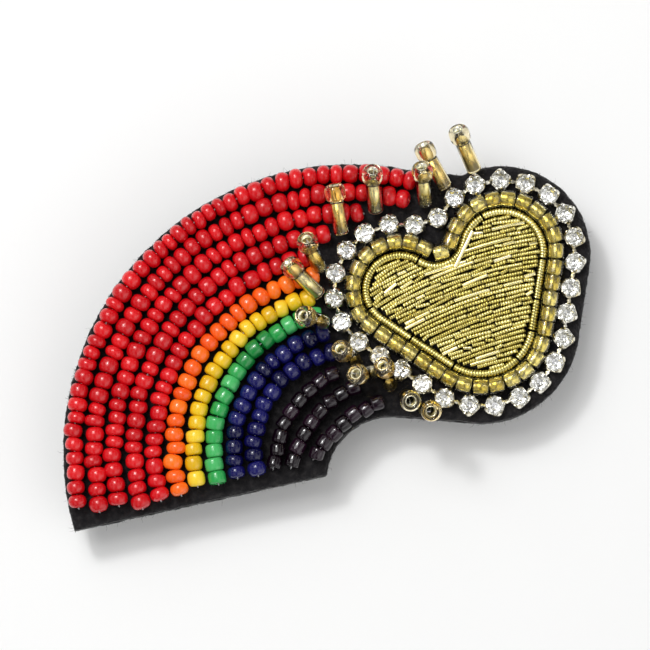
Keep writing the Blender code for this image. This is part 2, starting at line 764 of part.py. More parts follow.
def add_rivet(builder):
    """The hinge pin, with a head outside each ear."""
    outside = ear_middle() + EAR_THICK / 2 + GAP
    end = outside + RIVET_HEAD
    profile = (
        (0.0, end), (RIVET_HEAD_RADIUS, end), (RIVET_HEAD_RADIUS, outside),
        (RIVET_RADIUS, outside), (RIVET_RADIUS, -outside), (RIVET_HEAD_RADIUS, -outside),
        (RIVET_HEAD_RADIUS, -end), (0.0, -end),
    )
    rivet = turned_object(builder, "pin_rivet", profile, ROUND_SIDES, "steel")
    rivet.location = Vector((PIN_AT[0] + hinge_x(), PIN_AT[1], STEM_LEVEL)) * MM
    rivet.rotation_euler = (math.radians(90), 0.0, 0.0)


def add_stem(builder):
    """The pointed wire; its origin is on the rivet's axis."""
    reach = catch_x() - hinge_x() + CATCH_LENGTH / 2 + FLANGE_THICK + STEM_OVERHANG
    root = EYE_RADIUS - EYE_OVERLAP
    places = [(root, 0.0, 0.0), (reach - STEM_POINT, 0.0, 0.0), (reach, 0.0, 0.0)]
    wire = tube_curve("pin_stem", places, STEM_RADIUS, WIRE_SIDES, swell=(1.0, 1.0, STEM_TIP))
    at = (PIN_AT[0] + hinge_x(), PIN_AT[1], STEM_LEVEL)
    stem = builder.add("pin_stem", curve_to_mesh(wire), "steel", at)
    bore = circle((0.0, 0.0), RIVET_RADIUS + STEM_GAP, ROUND_SIDES)
    eye_mesh = upright_plate("stem_eye", [circle((0.0, 0.0), EYE_RADIUS), bore], EYE_WIDTH)
    eye = builder.add_cutter("stem_eye", eye_mesh)
    eye.location = stem.location
    eye.rotation_euler = (math.radians(90), 0.0, 0.0)
    builder.boolean(stem, eye, "UNION")


def add_rotor(builder):
    """The slotted sleeve that turns in the catch and shuts its mouth; origin on its axis."""
    bore = STEM_RADIUS + STEM_GAP
    slot = 2 * bore
    at = (PIN_AT[0] + catch_x(), PIN_AT[1], STEM_LEVEL)
    half = CATCH_LENGTH / 2 + ROTOR_GAP
    upright = (math.radians(90), 0.0, math.radians(90))
    barrel = slotted_disc(ROTOR_RADIUS, bore, slot)
    mesh = upright_plate("catch_rotor", [barrel], 2 * half + FLANGE_THICK)
    rotor = builder.add("catch_rotor", mesh, "steel", at)
    rotor.rotation_euler = upright
    flange_outline = slotted_disc(FLANGE_RADIUS, bore, slot)
    for side, label in ((-1, "rotor_flange_in"), (1, "rotor_flange_out")):
        flange = builder.add_cutter(label, upright_plate(label, [flange_outline], FLANGE_THICK))
        shift = side * (half + FLANGE_THICK / 2)
        flange.location = (Vector(at) + Vector((shift, 0.0, 0.0))) * MM
        flange.rotation_euler = upright
        builder.boolean(rotor, flange, "UNION")
    thumb = builder.add_cutter("rotor_thumb", upright_plate("rotor_thumb", [thumb_outline()], FLANGE_THICK))
    thumb.location = (Vector(at) + Vector((half + FLANGE_THICK / 2, 0.0, 0.0))) * MM
    thumb.rotation_euler = upright
    builder.boolean(rotor, thumb, "UNION")


def thumb_outline():
    """A tab with a round end that stands out of the outer flange."""
    bearing = math.radians(-90.0 + THUMB_ANGLE)
    out = Vector((math.cos(bearing), math.sin(bearing)))
    side = Vector((-out.y, out.x)) * (THUMB_WIDTH / 2)
    root = out * (FLANGE_RADIUS - THUMB_WIDTH / 2)
    centre = out * (THUMB_REACH - THUMB_WIDTH / 2)
    first = math.degrees(bearing) - 90.0
    tab = arc(centre, THUMB_WIDTH / 2, first, first + 180.0, ROUND_STEP)
    return [root + side, root - side] + tab


def add_stitches(builder):
    """Thread through each hole of the bar and over its long edge into the felt."""
    edge = BAR_WIDTH / 2 + GAP + THREAD_RADIUS
    over = BAR_BACK - GAP - THREAD_RADIUS
    felt = FELT_BACK - GAP - THREAD_RADIUS
    inside = BAR_HOLE_RADIUS - GAP - THREAD_RADIUS
    route = ((0.0, 0.0, felt), (0.0, inside / 2, over), (0.0, edge, over), (0.0, edge, felt))
    for index, side in enumerate((-1, 0, 1)):
        name = f"bar_stitch_{index + 1}"
        curve = tube_curve(name, route, THREAD_RADIUS, BEAD_SIDES)
        builder.add(name, curve, "thread", (PIN_AT[0] + side * BAR_HOLE_PITCH, PIN_AT[1], 0.0))


def centre_on_origin(builder):
    """Moves the brooch so that its footprint is centred and it stands on z = 0."""
    bpy.context.view_layer.update()
    graph = bpy.context.evaluated_depsgraph_get()
    low = Vector((math.inf,) * 3)
    high = Vector((-math.inf,) * 3)
    for item in builder.parts.objects:
        if item.type == "EMPTY":
            continue
        evaluated = item.evaluated_get(graph)
        mesh = evaluated.to_mesh()
        for vert in mesh.vertices:
            place = evaluated.matrix_world @ vert.co
            low = Vector(map(min, low, place))
            high = Vector(map(max, high, place))
        evaluated.to_mesh_clear()
    builder.root.location = (-(low.x + high.x) / 2, -(low.y + high.y) / 2, -low.z)


def main():
    clear_scene()
    builder = Builder()
    add_felts(builder)
    add_rainbow(builder)
    add_heart_padding(builder)
    add_heart_fill(builder)
    add_heart_edging(builder)
    add_border(builder)
    add_cup_chain(builder)
    add_rays(builder)
    add_pin_bar(builder)
    add_rivet(builder)
    add_stem(builder)
    add_rotor(builder)
    add_stitches(builder)
    centre_on_origin(builder)


main()
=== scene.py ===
"""Looks of the beaded rainbow-and-heart brooch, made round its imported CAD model.

Plans are in millimetres about the centre of the rainbow's arcs, as in the CAD source.
Heights, bead counts and the rays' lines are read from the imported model.
"""
import json
import math
import random

import bmesh
import bpy
import numpy as np
from mathutils import Matrix, Vector, geometry, noise


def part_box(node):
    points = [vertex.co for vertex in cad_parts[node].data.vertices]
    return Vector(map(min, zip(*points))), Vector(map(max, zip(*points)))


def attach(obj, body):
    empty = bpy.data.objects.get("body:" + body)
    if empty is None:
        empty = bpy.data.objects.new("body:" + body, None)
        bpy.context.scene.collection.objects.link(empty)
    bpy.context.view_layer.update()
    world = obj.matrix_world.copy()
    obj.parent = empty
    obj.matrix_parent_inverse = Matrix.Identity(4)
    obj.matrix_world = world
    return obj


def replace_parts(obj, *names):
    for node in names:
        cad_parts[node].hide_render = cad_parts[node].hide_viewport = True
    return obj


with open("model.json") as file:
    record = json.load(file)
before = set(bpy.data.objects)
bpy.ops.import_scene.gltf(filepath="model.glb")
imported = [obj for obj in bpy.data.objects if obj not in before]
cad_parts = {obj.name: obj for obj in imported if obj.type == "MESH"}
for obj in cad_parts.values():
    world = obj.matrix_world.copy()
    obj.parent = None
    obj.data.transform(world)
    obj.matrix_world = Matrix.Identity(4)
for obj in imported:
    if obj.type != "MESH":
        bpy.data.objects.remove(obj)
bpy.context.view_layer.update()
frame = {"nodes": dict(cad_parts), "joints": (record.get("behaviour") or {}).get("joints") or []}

MM = 0.001

# Plan of the rainbow and the heart
BEAD_DIAMETER = 2.4
ROW_PITCH = 2.48
BEAD_PITCH = 1.72
# each round row from the outside in: how far its first bead sits past the CAD row's start,
# along the thread, and how many beads close up to the cups past the CAD row's end
ROUND_ROWS = {
    "red_bead_row_1": (0.9, 0), "red_bead_row_2": (-0.2, 0), "red_bead_row_3": (0.1, 0),
    "red_bead_row_4": (-1.0, 0), "red_bead_row_5": (-0.5, 0), "orange_bead_row": (-0.4, 1),
    "yellow_bead_row": (0.2, 1), "green_bead_row": (-0.1, 1), "blue_bead_row_1": (0.1, 1),
    "blue_bead_row_2": (-0.2, 0),
}
INNER_ROUND_ROW = 12.2
# the flatter rows: centre's shift and radius's growth in row pitches, then the same two values
PURPLE_ROWS = {
    "purple_bead_row_1": ((1.17, -1.33), 0.40, (0.2, 0)),
    "purple_bead_row_2": ((0.36, -0.56), -0.44, (-0.2, 0)),
    "purple_bead_row_3": ((0.97, -2.06), 1.05, (0.4, 0)),
}
LEFT_LOBE, LEFT_RADIUS = Vector((10.34, 18.01)), 5.97
RIGHT_LOBE, RIGHT_RADIUS = Vector((23.95, 19.83)), 6.69
TIP, TIP_RADIUS = Vector((19.17, 11.68)), 8.06
BORDER_CLEFT = 1.9
BORDER_PITCH = 1.98
CUP_OFFSET, CUP_CLEFT, CUP_PITCH = 2.40, 3.2, 3.25
EDGING_OFFSET, EDGING_RADIUS = -1.66, 0.58
FILL_OFFSET = -2.48
HEART_FELT_MARGIN = 1.9
OUTER_MARGIN = 1.4
FOOT_MARGIN = 2.1
BAY_CENTRE, BAY_START, BAY_END = Vector((3.9, -4.9)), 162.0, 70.0
TIP_FELT_START, RIGHT_FELT_END, OUTER_FELT_START = -112.0, 104.0, 66.0
GAP = 0.05
RAY_COUNT = 13
FELT_RIM_POINTS, FIBRE_COUNT = 480, 2600
BORDER_RADIUS, BORDER_HALF, BORDER_HOLE = 1.13, 0.975, 0.80
BUGLE_RADIUS, BUGLE_HOLE = 0.95, 0.74
TIP_BEAD_RADIUS, TIP_BEAD_HOLE = 1.32, 0.68

# Bar pin, about the middle of its bar
PIN_AT = Vector((-1.0, 16.4))
BAR_LENGTH, BAR_WIDTH, BAR_THICK = 32.0, 5.0, 0.7
BAR_HOLE_RADIUS, BAR_HOLE_PITCH = 0.9, 7.5
HINGE_INSET, CATCH_INSET = 1.6, 3.4
STEM_RADIUS, STEM_POINT, STEM_OVERHANG = 0.45, 2.6, 2.2
EYE_RADIUS, EYE_WIDTH, EYE_BORE = 1.05, 1.1, 0.5
EAR_THICK, EAR_REACH, EAR_GAP = 0.6, 1.1, 0.1
RIVET_RADIUS, RIVET_HEAD_RADIUS, RIVET_HEAD = 0.4, 0.75, 0.3
CATCH_LENGTH, CATCH_WALL, CATCH_MOUTH = 3.0, 0.5, 1.3
ROTOR_RADIUS, ROTOR_BORE, ROTOR_GAP = 1.45, 0.55, 0.07
CATCH_RADIUS = ROTOR_RADIUS + ROTOR_GAP + CATCH_WALL
FLANGE_RADIUS, FLANGE_THICK = 1.7, 0.4
THUMB_REACH, THUMB_WIDTH, THUMB_ANGLE = 2.7, 1.1, -60.0
THREAD_RADIUS = 0.25


def joint_place(name):
    """A joint's place in the row frame, in millimetres."""
    found = [joint for joint in frame["joints"] if joint["name"] == name]
    return Vector(found[0]["pos_m"]) / MM


HINGE = joint_place("stem_hinge")
SHIFT = Vector((HINGE.x - PIN_AT.x + BAR_LENGTH / 2 - HINGE_INSET, HINGE.y - PIN_AT.y, 0.0))
STEM_LEVEL = HINGE.z
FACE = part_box("front_felt")[1].z / MM
FRONT_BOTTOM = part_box("front_felt")[0].z / MM
BACK_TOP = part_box("backing_felt")[1].z / MM
BACK_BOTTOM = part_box("backing_felt")[0].z / MM
BAR_BACK = BACK_BOTTOM - GAP - BAR_THICK


def node_points(name):
    """A CAD node's points, in plan millimetres."""
    node = frame["nodes"][name]
    return np.array([tuple(vert.co) for vert in node.data.vertices]) / MM - np.array(SHIFT)


# Plan geometry

def polar(centre, radius, degrees):
    angle = math.radians(degrees)
    return Vector((centre[0] + radius * math.cos(angle), centre[1] + radius * math.sin(angle)))


def heading(start, end):
    delta = Vector(end) - Vector(start)
    return math.degrees(math.atan2(delta.y, delta.x))


def arc(centre, radius, start, end, step=0.4):
    count = max(2, math.ceil(math.radians(abs(end - start)) * radius / step))
    return [polar(centre, radius, start + (end - start) * i / count) for i in range(count + 1)]


def sweep_up(angle, floor):
    return floor + (angle - floor) % 360.0


def tangent_normal(centre_a, radius_a, centre_b, radius_b):
    """Outward direction of the line that touches both circles on its left side."""
    span = (centre_b - centre_a).length
    return heading(centre_a, centre_b) - math.degrees(math.acos((radius_a - radius_b) / span))


def cleft_centre(offset, cleft_radius):
    """Centre of the round notch that touches both lobes from above."""
    reach_left = LEFT_RADIUS + offset + cleft_radius
    reach_right = RIGHT_RADIUS + offset + cleft_radius
    across = RIGHT_LOBE - LEFT_LOBE
    along = (reach_left ** 2 - reach_right ** 2 + across.length ** 2) / (2 * across.length)
    unit = across.normalized()
    rise = math.sqrt(reach_left ** 2 - along ** 2)
    return LEFT_LOBE + unit * along + Vector((-unit.y, unit.x)) * rise


def heart_outline(offset, cleft_radius):
    """The heart's line moved outwards by offset, counterclockwise from its right side."""
    left, right, tip = LEFT_RADIUS + offset, RIGHT_RADIUS + offset, TIP_RADIUS + offset
    left_side = tangent_normal(LEFT_LOBE, left, TIP, tip)
    right_side = tangent_normal(TIP, tip, RIGHT_LOBE, right)
    notch = cleft_centre(offset, cleft_radius)
    notch_start = heading(notch, RIGHT_LOBE)
    notch_end = sweep_up(heading(notch, LEFT_LOBE), notch_start - 360.0)
    left_start = heading(LEFT_LOBE, notch)
    left_end = sweep_up(left_side, left_start)
    points = arc(RIGHT_LOBE, right, right_side, sweep_up(heading(RIGHT_LOBE, notch), right_side))
    points += arc(notch, cleft_radius, notch_start, notch_end)[1:]
    points += arc(LEFT_LOBE, left, left_start, left_end)[1:]
    points += arc(TIP, tip, left_end, sweep_up(right_side, left_end))
    return points


def row_circles():
    """Each bead row's name, centre, radius, slide and extra beads, from the outside in."""
    last = len(ROUND_ROWS) - 1
    circles = [
        (name, Vector((0.0, 0.0)), INNER_ROUND_ROW + ROW_PITCH * (last - index), *ends)
        for index, (name, ends) in enumerate(ROUND_ROWS.items())
    ]
    centre, radius = Vector((0.0, 0.0)), INNER_ROUND_ROW
    for name, (shift, growth, ends) in PURPLE_ROWS.items():
        centre = centre + Vector(shift) * ROW_PITCH
        radius += growth * ROW_PITCH
        circles.append((name, centre, radius, *ends))
    return circles


def felt_outline():
    """The felt's edge, counterclockwise."""
    margin = CUP_OFFSET + HEART_FELT_MARGIN
    circles = row_circles()
    outer = circles[0][2] + OUTER_MARGIN
    last_centre, last_radius = circles[-1][1:3]
    bay = last_radius - (last_centre - BAY_CENTRE).length - BEAD_DIAMETER / 2
    tip, right = TIP_RADIUS + margin, RIGHT_RADIUS + margin
    right_side = tangent_normal(TIP, tip, RIGHT_LOBE, right)
    foot_angle = 180.0 + math.degrees(math.asin(FOOT_MARGIN / outer))
    points = arc(TIP, tip, TIP_FELT_START, right_side)
    points += arc(RIGHT_LOBE, right, right_side, RIGHT_FELT_END)
    points += arc((0.0, 0.0), outer, OUTER_FELT_START, foot_angle)
    points += arc(BAY_CENTRE, bay, BAY_START, BAY_END)
    return points


def resample(points, count, closed):
    """Count points at equal spacing along a plan line, as an array."""
    line = np.array([tuple(point) for point in points] + ([tuple(points[0])] if closed else []))
    reach = np.concatenate([[0.0], np.cumsum(np.linalg.norm(np.diff(line, axis=0), axis=1))])
    targets = reach[-1] * np.arange(count) / (count if closed else count - 1)
    return np.stack([np.interp(targets, reach, line[:, k]) for k in range(line.shape[1])], axis=1)


def path_length(points, closed):
    line = list(points) + ([points[0]] if closed else [])
    return sum((Vector(b) - Vector(a)).length for a, b in zip(line, line[1:]))


def inside(polygon, places):
    """True for each place that lies in the polygon."""
    x, y = places[:, 0], places[:, 1]
    odd = np.zeros(len(places), bool)
    for (ax, ay), (bx, by) in zip(polygon, np.roll(polygon, -1, axis=0)):
        crosses = (ay > y) != (by > y)
        slope = (bx - ax) / (by - ay) if by != ay else 0.0
        odd ^= crosses & (x < ax + (y - ay) * slope)
    return odd


def edge_distance(outline, places):
    return np.array([np.linalg.norm(outline - place, axis=1).min() for place in places])


# Mesh helpers

def new_object(name, data):
    item = bpy.data.objects.new(name, data)
    bpy.context.scene.collection.objects.link(item)
    return item


class Shape:
    """Gathers points in plan millimetres with their faces, finishes and tones from 0 to 1; a tone is
    random, and on the coils it also holds painted shade in the grooves.
    """

    def __init__(self):
        self.points = []
        self.faces = []
        self.finishes = []
        self.tones = []
        self.count = 0

    def add(self, points, faces, tone_and_shade=0.5, finish=0):
        self.points.append(np.asarray(points, float))
        self.faces += [[index + self.count for index in face] for face in faces]
        self.finishes += [finish] * len(faces)
        self.tones.append(np.broadcast_to(np.asarray(tone_and_shade, float), (len(points),)))
        self.count += len(points)

    def build(self, name, materials, slot, body="brooch", sharp=None):
        """The finished piece, riding on its body; sharp is the angle of a hard edge."""
        places = (np.concatenate(self.points) + np.array(SHIFT)) * MM
        mesh = bpy.data.meshes.new(name)
        mesh.from_pydata(places.tolist(), [], self.faces)
        mesh.polygons.foreach_set("material_index", self.finishes)
        # the tone attribute: random tone, and on the coils also painted shade in the grooves
        tones = mesh.attributes.new("tone_and_shade", "FLOAT", "POINT")
        tones.data.foreach_set("value", np.concatenate(self.tones))
        shape = bmesh.new()
        shape.from_mesh(mesh)
        bmesh.ops.recalc_face_normals(shape, faces=shape.faces)
        shape.to_mesh(mesh)
        shape.free()
        mesh.shade_smooth()
        if sharp is not None:
            mesh.set_sharp_from_angle(angle=math.radians(sharp))
        for material in materials:
            mesh.materials.append(material)
        piece = new_object(name, mesh)
        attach(piece, body)
        return piece


def grid_faces(rows, columns, wrap_rows=False):
    """Quads of a grid whose columns run round a ring."""
    faces = []
    for row in range(rows if wrap_rows else rows - 1):
        above = (row + 1) % rows
        for column in range(columns):
            beside = (column + 1) % columns
            faces.append((
                row * columns + column, row * columns + beside,
                above * columns + beside, above * columns + column))
    return faces


def end_caps(rows, columns):
    """The two faces that close a grid's first and last rings."""
    return [tuple(range(columns)), tuple(range((rows - 1) * columns, rows * columns))]


def turned(profile, sides, ring=True):
    """A profile of (radius, height) turned about Z; a ring joins its own two ends."""
    angles = np.arange(sides) * 2 * math.pi / sides
    rows = np.array(profile, float)
    points = np.stack([
        np.outer(rows[:, 0], np.cos(angles)),
        np.outer(rows[:, 0], np.sin(angles)),
        np.repeat(rows[:, 1:2], sides, axis=1)], axis=2).reshape(-1, 3)
    faces = grid_faces(len(rows), sides, wrap_rows=ring)
    if not ring:
        faces += end_caps(len(rows), sides)
    return points, faces


def posed(points, centre, axis, spin=0.0):
    """Points turned so that Z becomes the axis, and moved to the centre."""
    turn = Vector(axis).to_track_quat("Z", "Y").to_matrix() @ Matrix.Rotation(spin, 3, "Z")
    return points @ np.array(turn).T + np.array(centre)


def tube(path, radius, sides=8, closed=False):
    """A tube along the path; radius is one number, or one for each point and side."""
    path = np.asarray(path, float)
    ahead = np.roll(path, -1, axis=0) - np.roll(path, 1, axis=0)
    if not closed:
        ahead[0] = path[1] - path[0]
        ahead[-1] = path[-1] - path[-2]
    ahead /= np.linalg.norm(ahead, axis=1)[:, None]
    start = np.cross((0.0, 0.0, 1.0), ahead[0])
    side = start if np.linalg.norm(start) > 0.1 else np.array((1.0, 0.0, 0.0))
    frames = []
    for way in ahead:
        side = side - way * side.dot(way)
        side /= np.linalg.norm(side)
        frames.append((side, np.cross(way, side)))
    across = np.array(frames)
    angles = np.arange(sides) * 2 * math.pi / sides
    cosines, sines = np.cos(angles)[None, :, None], np.sin(angles)[None, :, None]
    ring = cosines * across[:, None, 0] + sines * across[:, None, 1]
    radius = np.asarray(radius, float)
    if radius.ndim == 1:
        radius = radius[:, None]
    reach = np.broadcast_to(radius, (len(path), sides))
    points = (path[:, None, :] + reach[:, :, None] * ring).reshape(-1, 3)
    faces = grid_faces(len(path), sides, wrap_rows=closed)
    if not closed:
        faces += end_caps(len(path), sides)
    return points, faces


def flat_plate(name, outlines, thick, rounding):
    """A plate of the outlines, centred on its own plane, with rounded rims, as arrays."""
    curve = bpy.data.curves.new(name, "CURVE")
    curve.dimensions = "2D"
    curve.fill_mode = "BOTH"
    curve.extrude = thick / 2 - rounding
    curve.bevel_depth = rounding
    curve.bevel_resolution = 2
    curve.offset = -rounding
    for outline in outlines:
        spline = curve.splines.new("POLY")
        spline.points.add(len(outline) - 1)
        for point, place in zip(spline.points, outline):
            point.co = (place[0], place[1], 0.0, 1.0)
        spline.use_cyclic_u = True
    holder = new_object(name, curve)
    bpy.context.view_layer.update()
    evaluated = holder.evaluated_get(bpy.context.evaluated_depsgraph_get())
    mesh = bpy.data.meshes.new_from_object(evaluated)
    bpy.data.objects.remove(holder, do_unlink=True)
    bpy.data.curves.remove(curve)
    shape = bmesh.new()
    shape.from_mesh(mesh)
    bmesh.ops.remove_doubles(shape, verts=shape.verts, dist=0.001)
    shape.verts.index_update()
    points = np.array([tuple(vert.co) for vert in shape.verts])
    faces = [tuple(vert.index for vert in face.verts) for face in shape.faces]
    shape.free()
    bpy.data.meshes.remove(mesh)
    return points, faces


# Materials

def new_material(name, settings):
    material = bpy.data.materials.new(name)
    material.use_nodes = True
    shader = material.node_tree.nodes["Principled BSDF"]
    for socket, value in settings.items():
        shader.inputs[socket].default_value = value
    return material


def noise_node(material, scale, detail=3.0, stretch=None):
    """A noise over the piece's own coordinates; the scale is per metre."""
    nodes, links = material.node_tree.nodes, material.node_tree.links
    place = nodes.new("ShaderNodeTexCoord")
    node = nodes.new("ShaderNodeTexNoise")
    node.inputs["Scale"].default_value = scale
    node.inputs["Detail"].default_value = detail
    source = place.outputs["Object"]
    if stretch is not None:
        mapping = nodes.new("ShaderNodeMapping")
        mapping.inputs["Scale"].default_value = stretch
        links.new(source, mapping.inputs["Vector"])
        source = mapping.outputs["Vector"]
    links.new(source, node.inputs["Vector"])
    return node.outputs["Fac"]


def add_colours(material, stops, scale, tone_share=0.5):
    """Base colour from a ramp over each piece's own tone mixed with a fine noise; on the coils the tone
    also carries painted shade in the grooves between turns.
    """
    nodes, links = material.node_tree.nodes, material.node_tree.links
    tone_and_shade = nodes.new("ShaderNodeAttribute")
    tone_and_shade.attribute_name = "tone_and_shade"
    blend = nodes.new("ShaderNodeMix")
    blend.inputs["Factor"].default_value = tone_share
    links.new(noise_node(material, scale), blend.inputs["A"])
    links.new(tone_and_shade.outputs["Fac"], blend.inputs["B"])
    ramp = nodes.new("ShaderNodeValToRGB")
    ramp.color_ramp.elements[0].color = (*stops[0], 1.0)
    ramp.color_ramp.elements[0].position = 0.25
    ramp.color_ramp.elements[1].color = (*stops[-1], 1.0)
    ramp.color_ramp.elements[1].position = 0.75
    for index, stop in enumerate(stops[1:-1]):
        middle = ramp.color_ramp.elements.new(0.25 + 0.5 * (index + 1) / (len(stops) - 1))
        middle.color = (*stop, 1.0)
    links.new(blend.outputs["Result"], ramp.inputs["Fac"])
    links.new(ramp.outputs["Color"], nodes["Principled BSDF"].inputs["Base Color"])
    return material


def add_roughness(material, low, high, scale):
    nodes, links = material.node_tree.nodes, material.node_tree.links
    span = nodes.new("ShaderNodeMapRange")
    span.inputs["From Min"].default_value = 0.3
    span.inputs["From Max"].default_value = 0.7
    span.inputs["To Min"].default_value = low
    span.inputs["To Max"].default_value = high
    links.new(noise_node(material, scale), span.inputs["Value"])
    links.new(span.outputs["Result"], nodes["Principled BSDF"].inputs["Roughness"])
    return material


def add_bump(material, scale, depth, detail=3.0, stretch=None):
    """Bump from a noise; the depth is in metres."""
    nodes, links = material.node_tree.nodes, material.node_tree.links
    bump = nodes.new("ShaderNodeBump")
    bump.inputs["Distance"].default_value = depth
    links.new(noise_node(material, scale, detail, stretch), bump.inputs["Height"])
    links.new(bump.outputs["Normal"], nodes["Principled BSDF"].inputs["Normal"])
    return material


def finish(name, settings, stops, colours, roughness=None, bump=None):
    """A material from its constants, colour stops and the values of each noise."""
    material = new_material(name, settings)
    add_colours(material, stops, *colours)
    if roughness:
        add_roughness(material, *roughness)
    if bump:
        add_bump(material, *bump)
    return material


def opaque_glass(name, *stops):
    """Opaque pressed glass with a clear gloss, slightly uneven in colour and surface."""
    settings = {"IOR": 1.45, "Coat Weight": 0.3, "Coat Roughness": 0.06}
    return finish(name, settings, stops, (500.0, 0.8), (0.18, 0.26, 900.0), (500.0, 0.00001))


def clear_glass(name, *stops, transmission=1.0, rough=0.03):
    settings = {"IOR": 1.5, "Transmission Weight": transmission}
    span = (rough, rough + 0.03, 900.0)
    return finish(name, settings, stops, (400.0, 0.8), span, (400.0, 0.000006))


def metal(name, *stops, rough=(0.18, 0.32), scale=900.0, relief=0.000008):
    span = (*rough, scale * 1.7)
    return finish(name, {"Metallic": 1.0}, stops, (scale, 0.6), span, (scale * 3, relief))


def felt_material(name, *stops):
    """Matted wool: mottled colour, a fibrous bump and a soft sheen."""
    settings = {
        "Sheen Weight": 0.25, "Sheen Roughness": 0.5, "Specular IOR Level": 0.1, "Roughness": 0.95}
    bump = (2600.0, 0.00025, 6.0, (1.0, 1.0, 0.6))
    return finish(name, settings, stops, (1400.0, 0.1), bump=bump)


def tip_glass_material():
    """Pale honey glass, thin enough to see the felt and the beads through."""
    return finish(
        "tip_bead_glass", {"IOR": 1.42, "Transmission Weight": 1.0},
        ((0.95, 0.72, 0.34), (0.97, 0.80, 0.46), (0.98, 0.88, 0.60)),
        (300.0, 0.9), (0.02, 0.05, 900.0), (400.0, 0.000004))


def stone_material():
    return finish(
        "cut_stone", {"IOR": 1.62, "Transmission Weight": 1.0},
        ((0.93, 0.93, 0.90), (0.97, 0.97, 0.95), (1.0, 1.0, 1.0)),
        (800.0, 0.7), (0.0, 0.03, 900.0))


def thread_material():
    return finish(
        "sewing_thread", {"Sheen Weight": 0.2, "Sheen Roughness": 0.4},
        ((0.008, 0.008, 0.009), (0.018, 0.018, 0.02), (0.04, 0.04, 0.042)),
        (3000.0, 0.2), (0.5, 0.8, 2000.0), (6000.0, 0.00006))


def floor_material():
    return finish(
        "pale_floor", {"Specular IOR Level": 0.2},
        ((0.86, 0.86, 0.855), (0.87, 0.87, 0.865), (0.88, 0.88, 0.875)),
        (9.0, 0.0), (0.55, 0.7, 40.0), (1500.0, 0.00001))


def make_materials():
    return {
        "red": opaque_glass("red_glass", (0.54, 0.002, 0.006), (0.63, 0.003, 0.008), (0.70, 0.006, 0.010)),
        "orange": opaque_glass("orange_glass", (0.86, 0.08, 0.004), (0.95, 0.13, 0.006), (1.0, 0.18, 0.01)),
        "yellow": opaque_glass("yellow_glass", (0.72, 0.42, 0.004), (0.85, 0.55, 0.01), (0.9, 0.62, 0.03)),
        "green": opaque_glass("green_glass", (0.008, 0.22, 0.04), (0.015, 0.32, 0.06), (0.06, 0.45, 0.12)),
        "blue": clear_glass(
            "blue_glass", (0.002, 0.002, 0.045), (0.005, 0.004, 0.085), (0.010, 0.010, 0.13),
            transmission=0.2, rough=0.02),
        "purple": clear_glass(
            "purple_glass", (0.005, 0.001, 0.004), (0.009, 0.002, 0.007), (0.020, 0.005, 0.016),
            transmission=0.3, rough=0.01),
        "gold_glass": clear_glass("gold_glass", (0.92, 0.84, 0.46), (0.95, 0.88, 0.54), (0.98, 0.92, 0.62)),
        "bugle_glass": clear_glass(
            "bugle_glass", (0.97, 0.85, 0.52), (0.98, 0.89, 0.60), (0.99, 0.93, 0.70), rough=0.01),
        "tip_glass": tip_glass_material(),
        "lining": metal(
            "gold_lining", (0.74, 0.65, 0.26), (0.86, 0.79, 0.38), (0.96, 0.90, 0.54),
            rough=(0.2, 0.32), relief=0.000004),
        "bugle_lining": metal(
            "bugle_lining", (0.96, 0.88, 0.60), (0.99, 0.94, 0.70), (1.0, 0.98, 0.80),
            rough=(0.22, 0.32), scale=300.0, relief=0.000001),
        # gilt_coil's dark first stop is painted shade: the coil grooves reach it through their tone
        "gilt": metal("gilt_coil", (0.12, 0.09, 0.015), (0.68, 0.58, 0.17), (0.91, 0.83, 0.39)),
        # on the bright edging lengths the darker end of this ramp is painted groove shade as well
        "bright_gilt": metal(
            "bright_gilt", (0.58, 0.49, 0.15), (0.82, 0.73, 0.33), (0.95, 0.87, 0.52),
            rough=(0.18, 0.3)),
        "cup": metal(
            "cup_metal", (0.80, 0.73, 0.54), (0.92, 0.87, 0.70), (0.98, 0.95, 0.85),
            rough=(0.14, 0.3)),
        "foil": metal(
            "stone_foil", (0.76, 0.75, 0.69), (0.86, 0.85, 0.79), (0.94, 0.94, 0.88),
            rough=(0.05, 0.12)),
        "stone": stone_material(),
        "felt": felt_material(
            "black_felt", (0.004, 0.004, 0.005), (0.010, 0.009, 0.010), (0.026, 0.024, 0.024)),
        "padding": felt_material(
            "padding_felt", (0.008, 0.007, 0.004), (0.018, 0.015, 0.008), (0.04, 0.032, 0.015)),
        "fuzz": felt_material(
            "felt_fuzz", (0.010, 0.009, 0.009), (0.022, 0.020, 0.018), (0.06, 0.055, 0.05)),
        "board": felt_material(
            "stiffener_board", (0.38, 0.33, 0.25), (0.48, 0.43, 0.33), (0.56, 0.5, 0.4)),
        "nylon": clear_glass(
            "nylon_thread", (0.7, 0.7, 0.7), (0.8, 0.8, 0.8), (0.9, 0.9, 0.9),
            transmission=0.5, rough=0.3),
        "thread": thread_material(),
        "steel": metal(
            "pin_steel", (0.44, 0.43, 0.41), (0.58, 0.57, 0.55), (0.70, 0.69, 0.67),
            rough=(0.2, 0.38), scale=500.0),
        "floor": floor_material(),
    }


# Beads

def bead_profile(radius, half, hole, squareness):
    """A drilled bead's section: a superellipse outside and a straight bore inside."""
    rim = hole + 0.22 * (radius - hole)
    section = []
    for step in range(13):
        angle = math.radians(-90.0 + 15.0 * step)
        out = max(0.0, math.cos(angle)) ** squareness
        up = math.copysign(abs(math.sin(angle)) ** squareness, math.sin(angle))
        section.append((rim + (radius - rim) * out, half * up))
    section += [(hole, half * 0.86), (hole, 0.0), (hole, -half * 0.86)]
    return section


